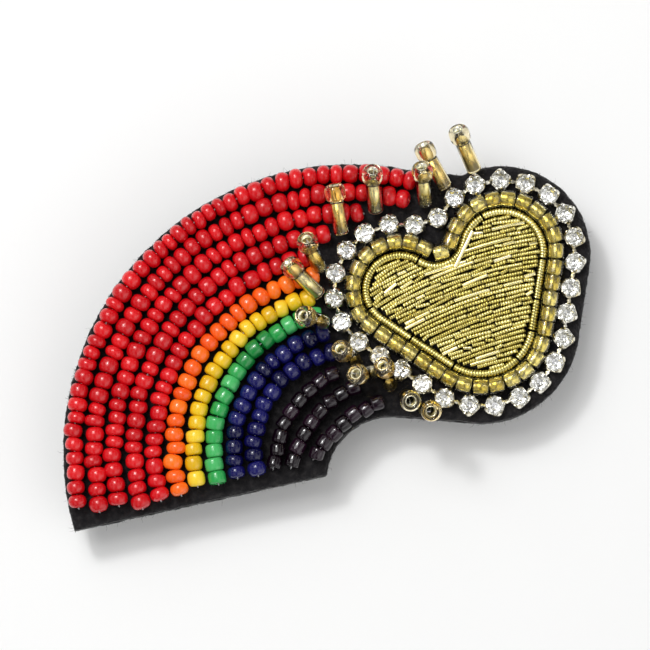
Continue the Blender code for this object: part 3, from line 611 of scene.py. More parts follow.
# how each colour's beads look: radius, squareness, hole, and how much sizes vary
BEAD_LOOKS = {
    "red": (1.22, 0.94, 0.28, 0.10),
    "orange": (1.21, 0.94, 0.28, 0.08),
    "yellow": (1.16, 0.74, 0.30, 0.07),
    "green": (1.14, 0.56, 0.34, 0.05),
    "blue": (1.16, 0.86, 0.32, 0.08),
    "purple": (0.98, 0.50, 0.36, 0.05),
}


def row_span(name, centre):
    """Start and stop directions of a CAD bead row about its centre, in degrees."""
    places = node_points(name)
    x, y = places[:, 0] - centre.x, places[:, 1] - centre.y
    turns = np.degrees(np.arctan2(y, x)) % 360.0
    return turns.max(), turns.min()


def add_bead_row(name, centre, radius, slide, extra, looks, material, slot, chance):
    """One row: beads of uneven length on a thread, each a little tilted and shifted."""
    wide, squareness, hole, spread = looks
    start, stop = row_span(name, centre)
    count = round(math.radians(start - stop) * radius / BEAD_PITCH) + extra
    length = count * BEAD_PITCH
    lengths = np.array([1.0 + chance.uniform(-1.8, 1.8) * spread for _ in range(count)])
    lengths *= (length - slide) / lengths.sum()
    shape = Shape()
    along = slide
    path = []
    for bead in range(count):
        middle = along + lengths[bead] / 2
        along += lengths[bead]
        size = wide * (1.0 + chance.uniform(-1.0, 0.4) * spread)
        spot = polar(centre, radius + chance.gauss(0.0, 0.09), start - math.degrees(middle / radius))
        turn = math.radians(start - math.degrees(middle / radius) - 90.0)
        axis = Vector((math.cos(turn), math.sin(turn), 0.0))
        axis += Vector((chance.gauss(0, 0.11), chance.gauss(0, 0.11), chance.gauss(0, 0.09)))
        height = FACE + GAP + size + chance.uniform(0.0, 0.08)
        shoulder = squareness * chance.uniform(0.88, 1.12)
        profile = bead_profile(size, lengths[bead] / 2 * 0.97, hole, shoulder)
        points, faces = turned(profile, 24)
        points = posed(points, (spot.x, spot.y, height), axis, chance.uniform(0.0, 6.28))
        shape.add(points, faces, chance.random())
        path.append((spot.x, spot.y, height))
    piece = shape.build(name.replace("_bead_row", "_beads"), [material], slot)
    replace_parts(piece, name)
    return np.array(path)


def add_row_thread(shape, path):
    """The nylon thread through a row, diving into the felt at both ends."""
    first = path[0] * 2 - path[1]
    last = path[-1] * 2 - path[-2]
    into = np.array((0.0, 0.0, -1.0))
    start = path[0] + (first - path[0]) * 0.52
    end = path[-1] + (last - path[-1]) * 0.52
    line = [start + into * 1.2, start + into * 0.3, *path, end + into * 0.3, end + into * 1.2]
    smooth = resample(line, len(path) * 4, False)
    shape.add(*tube(smooth, 0.09, 6))


def add_rainbow(looks):
    chance = random.Random(11)
    threads = Shape()
    for row in row_circles():
        colour = row[0].split("_")[0]
        path = add_bead_row(
            *row, BEAD_LOOKS[colour], looks[colour], f"{colour}_glass", chance)
        add_row_thread(threads, path)
    threads.build("row_threads", [looks["nylon"]], "thread")


def add_lined_bead(glass, lining, centre, axis, radius, half, hole, squareness, tone_and_shade):
    """A clear glass bead with a metal lining in its bore."""
    points, faces = turned(bead_profile(radius, half, hole, squareness), 36)
    glass.add(posed(points, centre, axis), faces, tone_and_shade)
    inner, length = hole - 0.012, half * 0.9
    section = [(inner, length), (inner, -length), (inner - 0.08, -length), (inner - 0.08, length)]
    points, faces = turned(section, 24)
    lining.add(posed(points, centre, axis), faces, tone_and_shade)


def add_border(looks):
    chance = random.Random(23)
    line = heart_outline(0.0, BORDER_CLEFT)
    count = round(path_length(line, True) / BORDER_PITCH)
    ends = resample(line, 2 * count, True)
    glass, lining = Shape(), Shape()
    for bead in range(count):
        spot = ends[2 * bead + 1]
        way = ends[(2 * bead + 2) % (2 * count)] - ends[2 * bead]
        size = BORDER_RADIUS * (1.0 - 0.04 * chance.random())
        axis = Vector((way[0], way[1], chance.gauss(0, 0.05)))
        centre = (spot[0] + chance.gauss(0, 0.05), spot[1] + chance.gauss(0, 0.05), FACE + GAP + size)
        half = BORDER_HALF * (1.0 + chance.uniform(-0.05, 0.0))
        add_lined_bead(
            glass, lining, centre, axis, size, half, BORDER_HOLE, 0.3, chance.random())
    piece = glass.build("heart_border_glass", [looks["gold_glass"]], "gold_lined_glass")
    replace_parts(piece, "heart_border_beads")
    lining.build("heart_border_lining", [looks["lining"]], "gold_lined_glass")


# Heart filling

RIB_PITCH = 0.31
RIB_STEPS = 6
FILL_PITCH = 0.555
EDGING_RIB = 0.36
CHIP_LENGTHS = (1.2, 1.8, 2.4, 3.0, 4.0, 6.0)
CHIP_RADIUS = 0.268
BRIGHT_CHIPS, BRIGHT_EDGING = 0.16, 0.25    # shares that are smooth and bright


def ribbed(path, radius, rib, depth, sides=12, closed=False):
    """A close-wound coil along the path: its skin waves once for each turn of the wire."""
    length = path_length(path, closed)
    turns = max(2, round(length / rib))
    line = resample(path, turns * RIB_STEPS + (0 if closed else 1), closed)
    phase = np.arange(len(line))[:, None] / RIB_STEPS + np.arange(sides)[None, :] / sides
    wave = np.abs(np.sin(math.pi * phase)) ** 0.8
    points, faces = tube(line, radius - depth * (1.0 - wave), sides, closed)
    # the wave goes back as well; the callers darken the colour with it as painted shade in the grooves
    return points, faces, wave.ravel()


def fill_rise(x, y, outline):
    """Height of the padded ground above the felt: flat in the middle, low at the rim."""
    reach = np.linalg.norm(outline - np.array((x, y)), axis=1).min()
    return 0.78 + 0.42 * min(1.0, reach / 3.5) ** 0.6


def row_bend(x):
    """How far a laid row rises at x: it leans up on the left and levels out on the right."""
    away = x - 17.5
    return 0.13 * away - 0.0095 * away * away


def add_fill(looks):
    chance = random.Random(37)
    line = heart_outline(FILL_OFFSET + 0.3, BORDER_CLEFT - FILL_OFFSET)
    outline = np.array([tuple(point) for point in line])
    shape = Shape()
    xs = np.arange(outline[:, 0].min(), outline[:, 0].max(), 0.1)
    lowest = outline[:, 1].min() - row_bend(outline[:, 0].min()) - 6.0
    for row in range(70):
        base = lowest + row * FILL_PITCH
        ys = np.array([base + row_bend(x) for x in xs])
        free = inside(outline, np.stack([xs, ys], axis=1))
        starts = np.flatnonzero(free & ~np.roll(free, 1))
        stops = np.flatnonzero(free & ~np.roll(free, -1))
        for first, last in zip(starts, stops):
            ends = chance.uniform(-0.2, 0.45), chance.uniform(-0.2, 0.3)
            lay_chips(shape, chance, xs[first] + ends[0], xs[last] - ends[1], base, outline)
    add_cleft_chip(shape, outline)
    piece = shape.build("heart_coil_chips", [looks["gilt"], looks["bright_gilt"]], "gilt_coil")
    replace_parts(piece, "heart_fill")


def lay_chips(shape, chance, left, right, base, outline):
    """Cut lengths of coil end to end from left to right."""
    x = left
    while right - x > 0.5:
        length = min(chance.choice(CHIP_LENGTHS) * chance.uniform(0.8, 1.2), right - x)
        if right - x - length < 0.7:
            length = right - x
        skew, lift = chance.gauss(0.0, 0.09), chance.uniform(-0.05, 0.14)
        steps = max(3, math.ceil(length / 0.5))
        places = []
        for step in range(steps + 1):
            at = x + (length - 0.06) * step / steps
            y = base + row_bend(at) + skew * (step / steps - 0.5) * 2
            ground = FACE + fill_rise(at, y, outline)
            places.append((at, y, ground + 0.27 + lift))
        bright = chance.random() < BRIGHT_CHIPS
        radius = CHIP_RADIUS + chance.uniform(-0.014, 0.012)
        if bright:
            points, faces, wave = ribbed(places, radius, RIB_PITCH, 0.015)
            shape.add(points, faces, chance.uniform(0.4, 1.0), 1)
        else:
            pitch = RIB_PITCH * chance.uniform(0.85, 1.25)
            points, faces, wave = ribbed(places, radius, pitch, 0.075)
            # painted shade: the random tone is darkened in the grooves between turns by the wave that
            # shapes the ribs
            shape.add(points, faces, chance.uniform(0.5, 1.0) * (0.12 + 0.88 * wave))
        x += length + chance.uniform(0.0, 0.09)


def add_cleft_chip(shape, outline):
    """A smooth straight length beside the cleft, over the ends of the laid rows."""
    notch = cleft_centre(EDGING_OFFSET, BORDER_CLEFT - EDGING_OFFSET)
    start = polar(notch, BORDER_CLEFT - EDGING_OFFSET + 0.85, heading(notch, RIGHT_LOBE) - 46.0)
    end = start + polar((0.0, 0.0), 5.0, 51.0)
    level = FACE + 1.45
    points, faces, _ = ribbed([(start.x, start.y, level), (end.x, end.y, level)], 0.30, 0.3, 0.01)
    shape.add(points, faces, 0.9, 1)


def add_edging(looks):
    """The thicker coil laid round the filling, in lengths that meet end to end."""
    chance = random.Random(41)
    line = resample(heart_outline(EDGING_OFFSET, BORDER_CLEFT - EDGING_OFFSET), 240, True)
    shape = Shape()
    first = 0
    while first < len(line):
        last = min(len(line), first + chance.choice((14, 22, 30, 40)))
        if len(line) - last < 8:
            last = len(line)
        part = line[first:last]
        level = FACE + GAP + EDGING_RADIUS + chance.uniform(0.0, 0.15)
        places = [(x, y, level) for x, y in part]
        bright = chance.random() < BRIGHT_EDGING
        radius = EDGING_RADIUS + 0.02
        points, faces, wave = ribbed(places, radius, EDGING_RIB, 0.07 if bright else 0.10, 16)
        # painted shade: the random tone is darkened in the grooves between turns by the rib wave
        tone_and_shade = chance.uniform(0.6, 1.0) * (0.2 + 0.8 * wave)
        shape.add(points, faces, tone_and_shade, 1 if bright else 0)
        first = last
    piece = shape.build("heart_edging", [looks["gilt"], looks["bright_gilt"]], "gilt_coil")
    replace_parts(piece, "heart_edging_coil")


def add_padding(looks):
    """The felt pad under the coil filling, crowned in the middle."""
    outline = resample(heart_outline(FILL_OFFSET, BORDER_CLEFT - FILL_OFFSET), 120, True)
    points, faces = crowned_sheet(
        outline, 0.9,
        lambda x, y, reach: (
            FACE + 0.12 + 0.55 * min(1.0, reach / 0.8) + 0.42 * min(1.0, reach / 3.5) ** 0.6),
        lambda x, y, reach: FACE + GAP)
    shape = Shape()
    shape.add(points, faces)
    piece = shape.build("heart_pad", [looks["padding"]], "padding_felt")
    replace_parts(piece, "heart_padding")


# Felt

def crowned_sheet(outline, spacing, top, bottom, wall_rows=1, wall_swell=None):
    """A closed sheet over the outline; top and bottom give heights at (x, y, rim distance)."""
    low, high = outline.min(axis=0), outline.max(axis=0)
    rows = np.arange(low[1], high[1], spacing * 0.866)
    grid = np.array([
        (x + (index % 2) * spacing / 2, y)
        for index, y in enumerate(rows) for x in np.arange(low[0], high[0], spacing)])
    grid = grid[inside(outline, grid)]
    grid = grid[edge_distance(outline, grid) > spacing * 0.45]
    count = len(outline)
    flat = [Vector(place) for place in np.concatenate([outline, grid])]
    edges = [(i, (i + 1) % count) for i in range(count)]
    verts, _, cells, origins, _, _ = geometry.delaunay_2d_cdt(flat, edges, [], 1, 1e-6)
    plan = np.array([tuple(vert) for vert in verts])
    new_index = {old: new for new, olds in enumerate(origins) for old in olds}
    rim = [new_index[i] for i in range(count)]
    reach = edge_distance(outline, plan)
    tops = [(x, y, top(x, y, r)) for (x, y), r in zip(plan, reach)]
    bottoms = [(x, y, bottom(x, y, r)) for (x, y), r in zip(plan, reach)]
    points = tops + bottoms
    faces = [tuple(cell) for cell in cells]
    faces += [tuple(index + len(plan) for index in reversed(cell)) for cell in cells]
    rings = [rim]
    for row in range(wall_rows):
        share = (row + 1) / (wall_rows + 1)
        ring = []
        for index in rim:
            x, y, high_z = tops[index]
            z = high_z + (bottoms[index][2] - high_z) * share
            push = wall_swell(x, y, z, share) if wall_swell else (0.0, 0.0)
            ring.append(len(points))
            points.append((x + push[0], y + push[1], z))
        rings.append(ring)
    rings.append([index + len(plan) for index in rim])
    for upper, lower in zip(rings, rings[1:]):
        for i in range(count):
            j = (i + 1) % count
            faces.append((upper[i], lower[i], lower[j], upper[j]))
    return points, faces


def fibre_noise(x, y, z, scale):
    return noise.noise(Vector((x, y, z)) * scale)


def ragged(outline, amount, seed):
    """The outline with the small waves of a scissor cut and matted fibres."""
    moved = []
    before, after = np.roll(outline, 1, axis=0), np.roll(outline, -1, axis=0)
    for (x, y), a, b in zip(outline, before, after):
        way = Vector(b - a).normalized()
        wave = fibre_noise(x, y, seed, 0.9) + 0.8 * fibre_noise(x, y, seed, 3.1)
        moved.append((x + way.y * wave * amount, y - way.x * wave * amount))
    return np.array(moved)


def add_felts(looks):
    """Two layers of felt whose rims are glued together round the stiffener."""
    plain = resample(felt_outline(), FELT_RIM_POINTS, True)
    meet = (FRONT_BOTTOM + BACK_TOP) / 2
    layers = (
        ("front_felt", FACE, FRONT_BOTTOM, meet + 0.01, 1.0),
        ("backing_felt", BACK_BOTTOM, BACK_TOP, meet - 0.01, -1.0),
    )
    middle = plain.mean(axis=0)
    for name, outside, hidden, joined, up in layers:
        outline = ragged(plain, 0.10, 7.0 * up)

        def outer(x, y, reach):
            ripple = 0.035 * fibre_noise(x, y, up, 1.3) + 0.02 * fibre_noise(x, y, up, 4.0)
            return outside + up * (ripple - 0.03 - 0.16 * max(0.0, 1.0 - reach / 0.5) ** 2)

        def inner(x, y, reach):
            return joined + (hidden - joined) * min(1.0, max(0.0, (reach - 0.5) / 0.9))

        def swell(x, y, z, share):
            way = Vector((x - middle[0], y - middle[1])).normalized()
            push = 0.07 * math.sin(math.pi * share) + 0.09 * fibre_noise(x, y, z, 2.2)
            return way.x * push, way.y * push

        top, bottom = (outer, inner) if up > 0 else (inner, outer)
        points, faces = crowned_sheet(outline, 0.8, top, bottom, 4, swell)
        shape = Shape()
        shape.add(points, faces)
        piece = shape.build(name + "_cloth", [looks["felt"]], "felt")
        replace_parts(piece, name)
    fuzz = add_fuzz(looks, plain)


def add_fuzz(looks, outline):
    """Loose fibres along the cut rim and a few on the open face."""
    chance = random.Random(53)
    shape = Shape()
    before, after = np.roll(outline, 1, axis=0), np.roll(outline, -1, axis=0)
    count = len(outline)
    for _ in range(FIBRE_COUNT):
        at = chance.randrange(count)
        way = Vector(after[at] - before[at]).normalized()
        out = Vector((way.y, -way.x, 0.0))
        level = chance.uniform(BACK_BOTTOM + 0.05, FACE - 0.02)
        start = Vector((*outline[at], level)) - out * 0.12
        lean = Vector((chance.gauss(0, 0.6), chance.gauss(0, 0.6), chance.gauss(0.1, 0.5)))
        long_one = chance.random() < 0.05
        length = chance.uniform(0.5, 1.1) if long_one else chance.uniform(0.15, 0.42)
        curl = Vector((chance.gauss(0, 0.5), chance.gauss(0, 0.5), chance.gauss(0, 0.5)))
        middle = start + (out + lean * 0.6).normalized() * length * 0.5
        end = middle + (out * 0.5 + lean * 0.6 + curl).normalized() * length * 0.5
        radius = 0.014 if long_one else 0.02
        points, faces = tube([start, middle, end], np.array((radius, radius, radius * 0.5)), 3)
        shape.add(points, faces, chance.random())
    return shape.build("felt_fibres", [looks["fuzz"]], "felt")


# Cup chain

def cup_shell():
    """A square cup whose corners rise into four prongs that close over the stone."""
    sides, half, wall = 64, 1.18, 0.12
    rows = []
    for level, skin in (
        (0.0, 0), (0.12, 0), (0.45, 0), (0.75, 0), (0.92, 0), (1.0, 0),
        (1.0, 1), (0.75, 1), (0.45, 1), (0.12, 1),
    ):
        ring = []
        for column in range(sides):
            angle = 2 * math.pi * column / sides
            corner = abs(math.sin(2 * angle)) ** 7
            height = level * (0.85 + 0.75 * corner)
            square = (abs(math.cos(angle)) ** 5 + abs(math.sin(angle)) ** 5) ** (-1 / 5)
            lean = max(0.0, height - 1.12) * 0.62
            inset = 0.18 * max(0.0, 1.0 - height / 0.12) if skin == 0 else wall
            reach = (half - inset) * square - lean
            ring.append((reach * math.cos(angle), reach * math.sin(angle), height))
        rows.append(ring)
    points = np.array(rows).reshape(-1, 3)
    faces = grid_faces(len(rows), sides)
    faces += end_caps(len(rows), sides)
    return points, faces


STONE_GIRDLE = 1.13
STONE_LEVEL = 1.22              # of the girdle above the cup's foot


def facet_rings(levels):
    """Rings of points; each level is (radius, height, number of points, turn in degrees)."""
    rings = []
    for radius, height, count, turn in levels:
        rings.append([
            (radius * math.cos(math.radians(360.0 * i / count + turn)),
             radius * math.sin(math.radians(360.0 * i / count + turn)), height)
            for i in range(count)])
    return rings


def brilliant():
    """A cut stone: table, star, bezel and girdle facets over a pointed pavilion."""
    rings = facet_rings((
        (0.62, 0.46, 8, 0.0), (0.90, 0.27, 8, 22.5), (STONE_GIRDLE, 0.04, 16, 0.0),
        (STONE_GIRDLE, -0.04, 16, 0.0), (0.42, -0.52, 8, 22.5), (0.05, -0.86, 8, 0.0)))
    points = [place for ring in rings for place in ring]
    table, star, upper, lower, belly, point = 0, 8, 16, 32, 48, 56
    faces = [tuple(range(table, table + 8)), tuple(range(point, point + 8))]
    for i in range(8):
        j = (i + 1) % 8
        faces += [(table + i, table + j, star + i), (star + i, table + j, star + j)]
        for ring, girdle in ((star, upper), (belly, lower)):
            near, middle, far = girdle + 2 * i, girdle + 2 * i + 1, girdle + (2 * i + 2) % 16
            faces += [(ring + i, near, middle), (ring + i, middle, far), (ring + i, far, ring + j)]
        faces += [(belly + i, belly + j, point + j), (belly + i, point + j, point + i)]
    for i in range(16):
        j = (i + 1) % 16
        faces.append((upper + i, upper + j, lower + j, lower + i))
    return np.array(points), faces


def foil_cone():
    """The faceted mirror foil under the stone."""
    rings = facet_rings((
        (0.99, -0.12, 8, 22.5), (0.46, -0.57, 8, 22.5), (0.06, -0.91, 8, 0.0),
        (0.02, -1.0, 8, 0.0), (0.50, -0.68, 8, 22.5), (0.99, -0.22, 8, 22.5)))
    points = np.array([place for ring in rings for place in ring])
    return points, grid_faces(len(rings), 8, wrap_rows=True)


def add_cup_chain(looks):
    chance = random.Random(67)
    line = heart_outline(CUP_OFFSET, CUP_CLEFT)
    count = round(path_length(line, True) / CUP_PITCH)
    spots = resample(line, count, True)
    cups, stones, foils = Shape(), Shape(), Shape()
    cup, stone, foil = cup_shell(), brilliant(), foil_cone()
    foot = FACE + GAP
    for index, spot in enumerate(spots):
        way = spots[(index + 1) % count] - spots[index - 1]
        turn = math.atan2(way[1], way[0]) + chance.gauss(0.0, 0.07)
        tilt = Vector((chance.gauss(0, 0.04), chance.gauss(0, 0.04), 1.0))
        centre = (spot[0], spot[1], foot)
        cups.add(posed(cup[0], centre, tilt, turn), cup[1], chance.random())
        rest = (spot[0] + tilt.x * STONE_LEVEL, spot[1] + tilt.y * STONE_LEVEL, foot + STONE_LEVEL)
        spin = turn + chance.uniform(0.0, 0.8)
        stones.add(posed(stone[0], rest, tilt, spin), stone[1], chance.random())
        foils.add(posed(foil[0], rest, tilt, spin), foil[1], chance.random())
        add_link(cups, spot, spots[(index + 1) % count], foot, chance)
    piece = cups.build("stone_cups", [looks["cup"]], "stones_in_cups", sharp=50)
    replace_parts(piece, "cup_chain")
    stones.build("cut_stones", [looks["stone"]], "stones_in_cups", sharp=1)
    foils.build("stone_foils", [looks["foil"]], "stones_in_cups", sharp=1)


def add_link(shape, start, end, foot, chance):
    """The short bar between two cups, with the round eyelet in its middle."""
    way = Vector(end - start).normalized()
    side = Vector((-way.y, way.x))
    middle = Vector((start + end) / 2)
    reach = Vector(end - start).length / 2 - 1.0
    points = []
    for along, wide in ((-1.0, 0.20), (-0.35, 0.15), (0.0, 0.26), (0.35, 0.15), (1.0, 0.20)):
        for across, up in ((-1, 0.28), (1, 0.28), (1, 0.60), (0, 0.70), (-1, 0.60)):
            spot = middle + way * along * reach + side * across * wide
            points.append((spot.x, spot.y, foot + up))
    faces = grid_faces(5, 5) + end_caps(5, 5)
    shape.add(points, faces, chance.random())


# Rays

def box_middle(points, way):
    """Middle of the points along a direction, and half their length along it."""
    along = points @ way
    centre = points.mean(axis=0)
    middle = (along.max() + along.min()) / 2
    return centre + way * (middle - centre @ way), (along.max() - along.min()) / 2


def add_rays(looks):
    """Each ray: a lined bugle bead, a round bead on its end and the thread through both."""
    chance = random.Random(71)
    tip_linings = Shape()
    for number in range(1, RAY_COUNT + 1):
        bugle_node, bead_node = f"ray_bugle_{number:02d}", f"ray_tip_bead_{number:02d}"
        bugle, bead = node_points(bugle_node), node_points(bead_node)
        way = bead.mean(axis=0) - bugle.mean(axis=0)
        way /= np.linalg.norm(way)
        middle, half = box_middle(bugle, way)
        glass, lining = Shape(), Shape()
        add_lined_bead(
            glass, lining, middle, way, BUGLE_RADIUS, half * 0.99, BUGLE_HOLE, 0.16,
            chance.random())
        piece = glass.build(f"ray_{number:02d}_bugle", [looks["bugle_glass"]], "bugle_glass")
        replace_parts(piece, bugle_node)
        lining.build(f"ray_{number:02d}_lining", [looks["bugle_lining"]], "bugle_glass")
        tip, tip_half = box_middle(bead, way)
        round_bead = Shape()
        lean = way + np.array([chance.gauss(0, 0.12) for _ in range(3)])
        add_lined_bead(
            round_bead, tip_linings, tip, lean, TIP_BEAD_RADIUS, tip_half * 1.04, TIP_BEAD_HOLE,
            0.8, chance.random())
        piece = round_bead.build(f"ray_{number:02d}_tip_bead", [looks["tip_glass"]], "tip_bead_glass")
        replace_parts(piece, bead_node)
        add_ray_thread(looks, number, middle, half, tip, tip_half, way, chance)
    tip_linings.build("ray_tip_linings", [looks["bugle_lining"]], "tip_bead_glass")


def add_ray_thread(looks, number, middle, half, tip, tip_half, way, chance):
    """Thread that comes up the bugle and the tip bead and is caught over the bead's rim."""
    side = np.cross(way, (chance.gauss(0, 1), chance.gauss(0, 1), 1.0))
    side /= np.linalg.norm(side)
    route = [
        middle - way * half * 0.95, middle + way * half * 0.9, tip - way * tip_half * 1.0,
        tip - way * tip_half * 0.4 + side * 0.1, tip + way * tip_half * 0.9 + side * 0.25,
        tip + way * tip_half * 1.04 + side * 0.4, tip + way * tip_half * 0.9 + side * 0.62,
    ]
    shape = Shape()
    shape.add(*tube(smooth_path(route, 40), 0.06, 6))
    shape.build(f"ray_{number:02d}_thread", [looks["nylon"]], "thread")


def smooth_path(route, count):
    """A Catmull-Rom line through the route's points."""
    ends = [route[0] * 2 - route[1], *route, route[-1] * 2 - route[-2]]
    made = []
    for step in range(count):
        at = step / (count - 1) * (len(route) - 1)
        index = min(int(at), len(route) - 2)
        t = at - index
        a, b, c, d = ends[index:index + 4]
        made.append(0.5 * (2 * b + (c - a) * t + (2 * a - 5 * b + 4 * c - d) * t ** 2
                           + (3 * b - 3 * c + d - a) * t ** 3))
    return np.array(made)


# Bar pin

def stadium(length, width):
    half = (length - width) / 2
    return arc((half, 0.0), width / 2, -90.0, 90.0) + arc((-half, 0.0), width / 2, 90.0, 270.0)


def circle(centre, radius, sides=40):
    return [polar(centre, radius, 360.0 * i / sides) for i in range(sides)]


def slotted_disc(radius, bore, slot):
    """A disc with a round bore that opens downwards through a slot."""
    outer_lean = math.degrees(math.asin(slot / 2 / radius))
    inner_lean = math.degrees(math.asin(min(1.0, slot / 2 / bore)))
    outer = arc((0.0, 0.0), radius, -90.0 + outer_lean, 270.0 - outer_lean, 0.12)
    inner = arc((0.0, 0.0), bore, 270.0 - inner_lean, -90.0 + inner_lean, 0.08)
    return outer + inner


ALONG = Matrix(((0, 0, 1), (1, 0, 0), (0, 1, 0)))       # a plate's own normal becomes +X
ACROSS = Matrix(((1, 0, 0), (0, 0, 1), (0, -1, 0)))     # a plate's own normal becomes +Y


def add_plate(shape, outlines, thick, centre, turn=None, rounding=0.08):
    points, faces = flat_plate("plate", outlines, thick, rounding)
    if turn is not None:
        points = points @ np.array(turn).T
    shape.add(points + np.array(centre), faces, 0.5)


def add_pin(looks):
    steel = [looks["steel"]]
    hinge = np.array((PIN_AT.x - BAR_LENGTH / 2 + HINGE_INSET, PIN_AT.y, STEM_LEVEL))
    catch = np.array((PIN_AT.x + BAR_LENGTH / 2 - CATCH_INSET, PIN_AT.y, STEM_LEVEL))
    drop = BAR_BACK - STEM_LEVEL

    bar = Shape()
    holes = [circle((side * BAR_HOLE_PITCH, 0.0), BAR_HOLE_RADIUS) for side in (-1, 0, 1)]
    add_plate(bar, [stadium(BAR_LENGTH, BAR_WIDTH)] + holes, BAR_THICK,
              (*PIN_AT, BAR_BACK + BAR_THICK / 2), rounding=0.15)
    piece = bar.build("pin_bar_plate", steel, "pin_steel", sharp=40)
    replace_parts(piece, "pin_bar")

    ears = Shape()
    ear_middle = EYE_WIDTH / 2 + EAR_GAP + EAR_THICK / 2
    lower = arc((0.0, drop), EAR_REACH, 0.0, 180.0, 0.15)
    ear = [Vector((EAR_REACH, -BAR_THICK / 2))] + lower + [Vector((-EAR_REACH, -BAR_THICK / 2))]
    for side in (-1, 1):
        add_plate(ears, [ear, circle((0.0, drop), RIVET_RADIUS + GAP, 24)], EAR_THICK,
                  (hinge[0], hinge[1] + side * ear_middle, BAR_BACK), ACROSS)
    ears.build("pin_hinge_ears", steel, "pin_steel", sharp=40)

    ring = Shape()
    add_plate(ring, [slotted_disc(CATCH_RADIUS, CATCH_RADIUS - CATCH_WALL, CATCH_MOUTH)],
              CATCH_LENGTH, catch, ALONG, 0.1)
    ring.build("pin_catch_ring", steel, "pin_steel", sharp=40)

    outside = ear_middle + EAR_THICK / 2 + GAP
    end = outside + RIVET_HEAD
    profile = [
        (0.05, end), (RIVET_HEAD_RADIUS * 0.6, end - 0.04), (RIVET_HEAD_RADIUS, end - 0.2),
        (RIVET_HEAD_RADIUS, outside), (RIVET_RADIUS, outside)]
    profile += [(radius, -height) for radius, height in reversed(profile)]
    rivet = Shape()
    points, faces = turned(profile, 32, ring=False)
    rivet.add(posed(points, hinge, (0.0, 1.0, 0.0)), faces)
    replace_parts(rivet.build("hinge_rivet", steel, "pin_steel", sharp=40), "pin_rivet")

    add_stem(looks, hinge, catch)
    add_rotor(looks, catch)


def add_stem(looks, hinge, catch):
    reach = catch[0] - hinge[0] + CATCH_LENGTH / 2 + FLANGE_THICK + STEM_OVERHANG
    stem = Shape()
    shares = [(EYE_RADIUS * 0.75, 1.0)]
    for step in range(9):
        share = step / 8
        shares.append((reach - STEM_POINT * (1.0 - share), math.sqrt(1.0 - 0.97 * share)))
    path = [(hinge[0] + x, hinge[1], hinge[2]) for x, _ in shares]
    stem.add(*tube(path, np.array([STEM_RADIUS * swell for _, swell in shares]), 24))
    add_plate(stem, [circle((0.0, 0.0), EYE_RADIUS), circle((0.0, 0.0), EYE_BORE)],
              EYE_WIDTH, hinge, ACROSS, 0.12)
    piece = stem.build("pin_stem_wire", [looks["steel"]], "pin_steel", "stem", 40)
    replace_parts(piece, "pin_stem")


def add_rotor(looks, catch):
    rotor = Shape()
    half = CATCH_LENGTH / 2 + ROTOR_GAP
    slot = 2 * ROTOR_BORE
    add_plate(rotor, [slotted_disc(ROTOR_RADIUS, ROTOR_BORE, slot)], 2 * half + FLANGE_THICK,
              catch, ALONG)
    for side in (-1, 1):
        shift = np.array((side * (half + FLANGE_THICK / 2), 0.0, 0.0))
        add_plate(rotor, [slotted_disc(FLANGE_RADIUS, ROTOR_BORE, slot)], FLANGE_THICK,
                  catch + shift, ALONG)
    bearing = math.radians(-90.0 + THUMB_ANGLE)
    out = Vector((math.cos(bearing), math.sin(bearing)))
    side = Vector((-out.y, out.x)) * (THUMB_WIDTH / 2)
    root = out * (FLANGE_RADIUS - THUMB_WIDTH / 2)
    centre = out * (THUMB_REACH - THUMB_WIDTH / 2)
    first = math.degrees(bearing) - 90.0
    tab = [root + side, root - side] + arc(centre, THUMB_WIDTH / 2, first, first + 180.0, 0.12)
    shift = np.array((half + FLANGE_THICK / 2, 0.0, 0.0))
    add_plate(rotor, [tab], FLANGE_THICK, catch + shift, ALONG)
    piece = rotor.build("safety_rotor", [looks["steel"]], "pin_steel", "rotor", 40)
    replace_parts(piece, "catch_rotor")


def add_stitches(looks):
    """Four turns of two-ply thread through each hole and over the bar's edge."""
    chance = random.Random(83)
    edge = BAR_WIDTH / 2 + GAP + THREAD_RADIUS
    over = BAR_BACK - GAP - THREAD_RADIUS * 0.6
    felt = BACK_BOTTOM + 0.1
    ply = THREAD_RADIUS * 0.36
    for index, side in enumerate((-1, 0, 1)):
        shape = Shape()
        middle = PIN_AT.x + side * BAR_HOLE_PITCH
        for turn in range(4):
            shift = (turn - 1.5) * 0.22
            spread = chance.uniform(1.2, 1.8)
            stops = (
                (shift, 0.0, felt), (shift, 0.25, over + 0.15),
                (shift * spread * 0.9, edge * 0.55, over),
                (shift * spread * 1.2, edge - 0.15, over + 0.12), (shift * spread * 1.3, edge, felt),
            )
            route = [np.array((middle + x, PIN_AT.y + y, z)) for x, y, z in stops]
            line = smooth_path(route, 60)
            for strand in (0.0, math.pi):
                twist = np.arange(60) * 0.55 + strand
                wave = np.stack([np.cos(twist), np.zeros(60), np.sin(twist) * 0.5], axis=1)
                wound = line + wave * ply
                shape.add(*tube(wound, ply, 6), chance.random())
        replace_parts(shape.build(f"bar_threads_{index + 1}", [looks["thread"]], "thread"),
                    f"bar_stitch_{index + 1}")


# Stage

VIEW_TURN = 13.0                # degrees that the picture is turned on the brooch's plan
VIEW_TILT = 7.0                 # degrees from straight overhead
VIEW_DISTANCE = 0.42
VIEW_WIDTH = 0.08125
PICTURE_MIDDLE = Vector((0.2, 15.9, 0.0))
AIM = (PICTURE_MIDDLE + SHIFT + Vector((0.0, 0.0, FACE))) * MM
SENSOR = 36.0


def picture_axes():
    """The picture's right and up directions on the floor."""
    turn = math.radians(VIEW_TURN)
    return (Vector((math.cos(turn), -math.sin(turn), 0.0)),
            Vector((math.sin(turn), math.cos(turn), 0.0)))


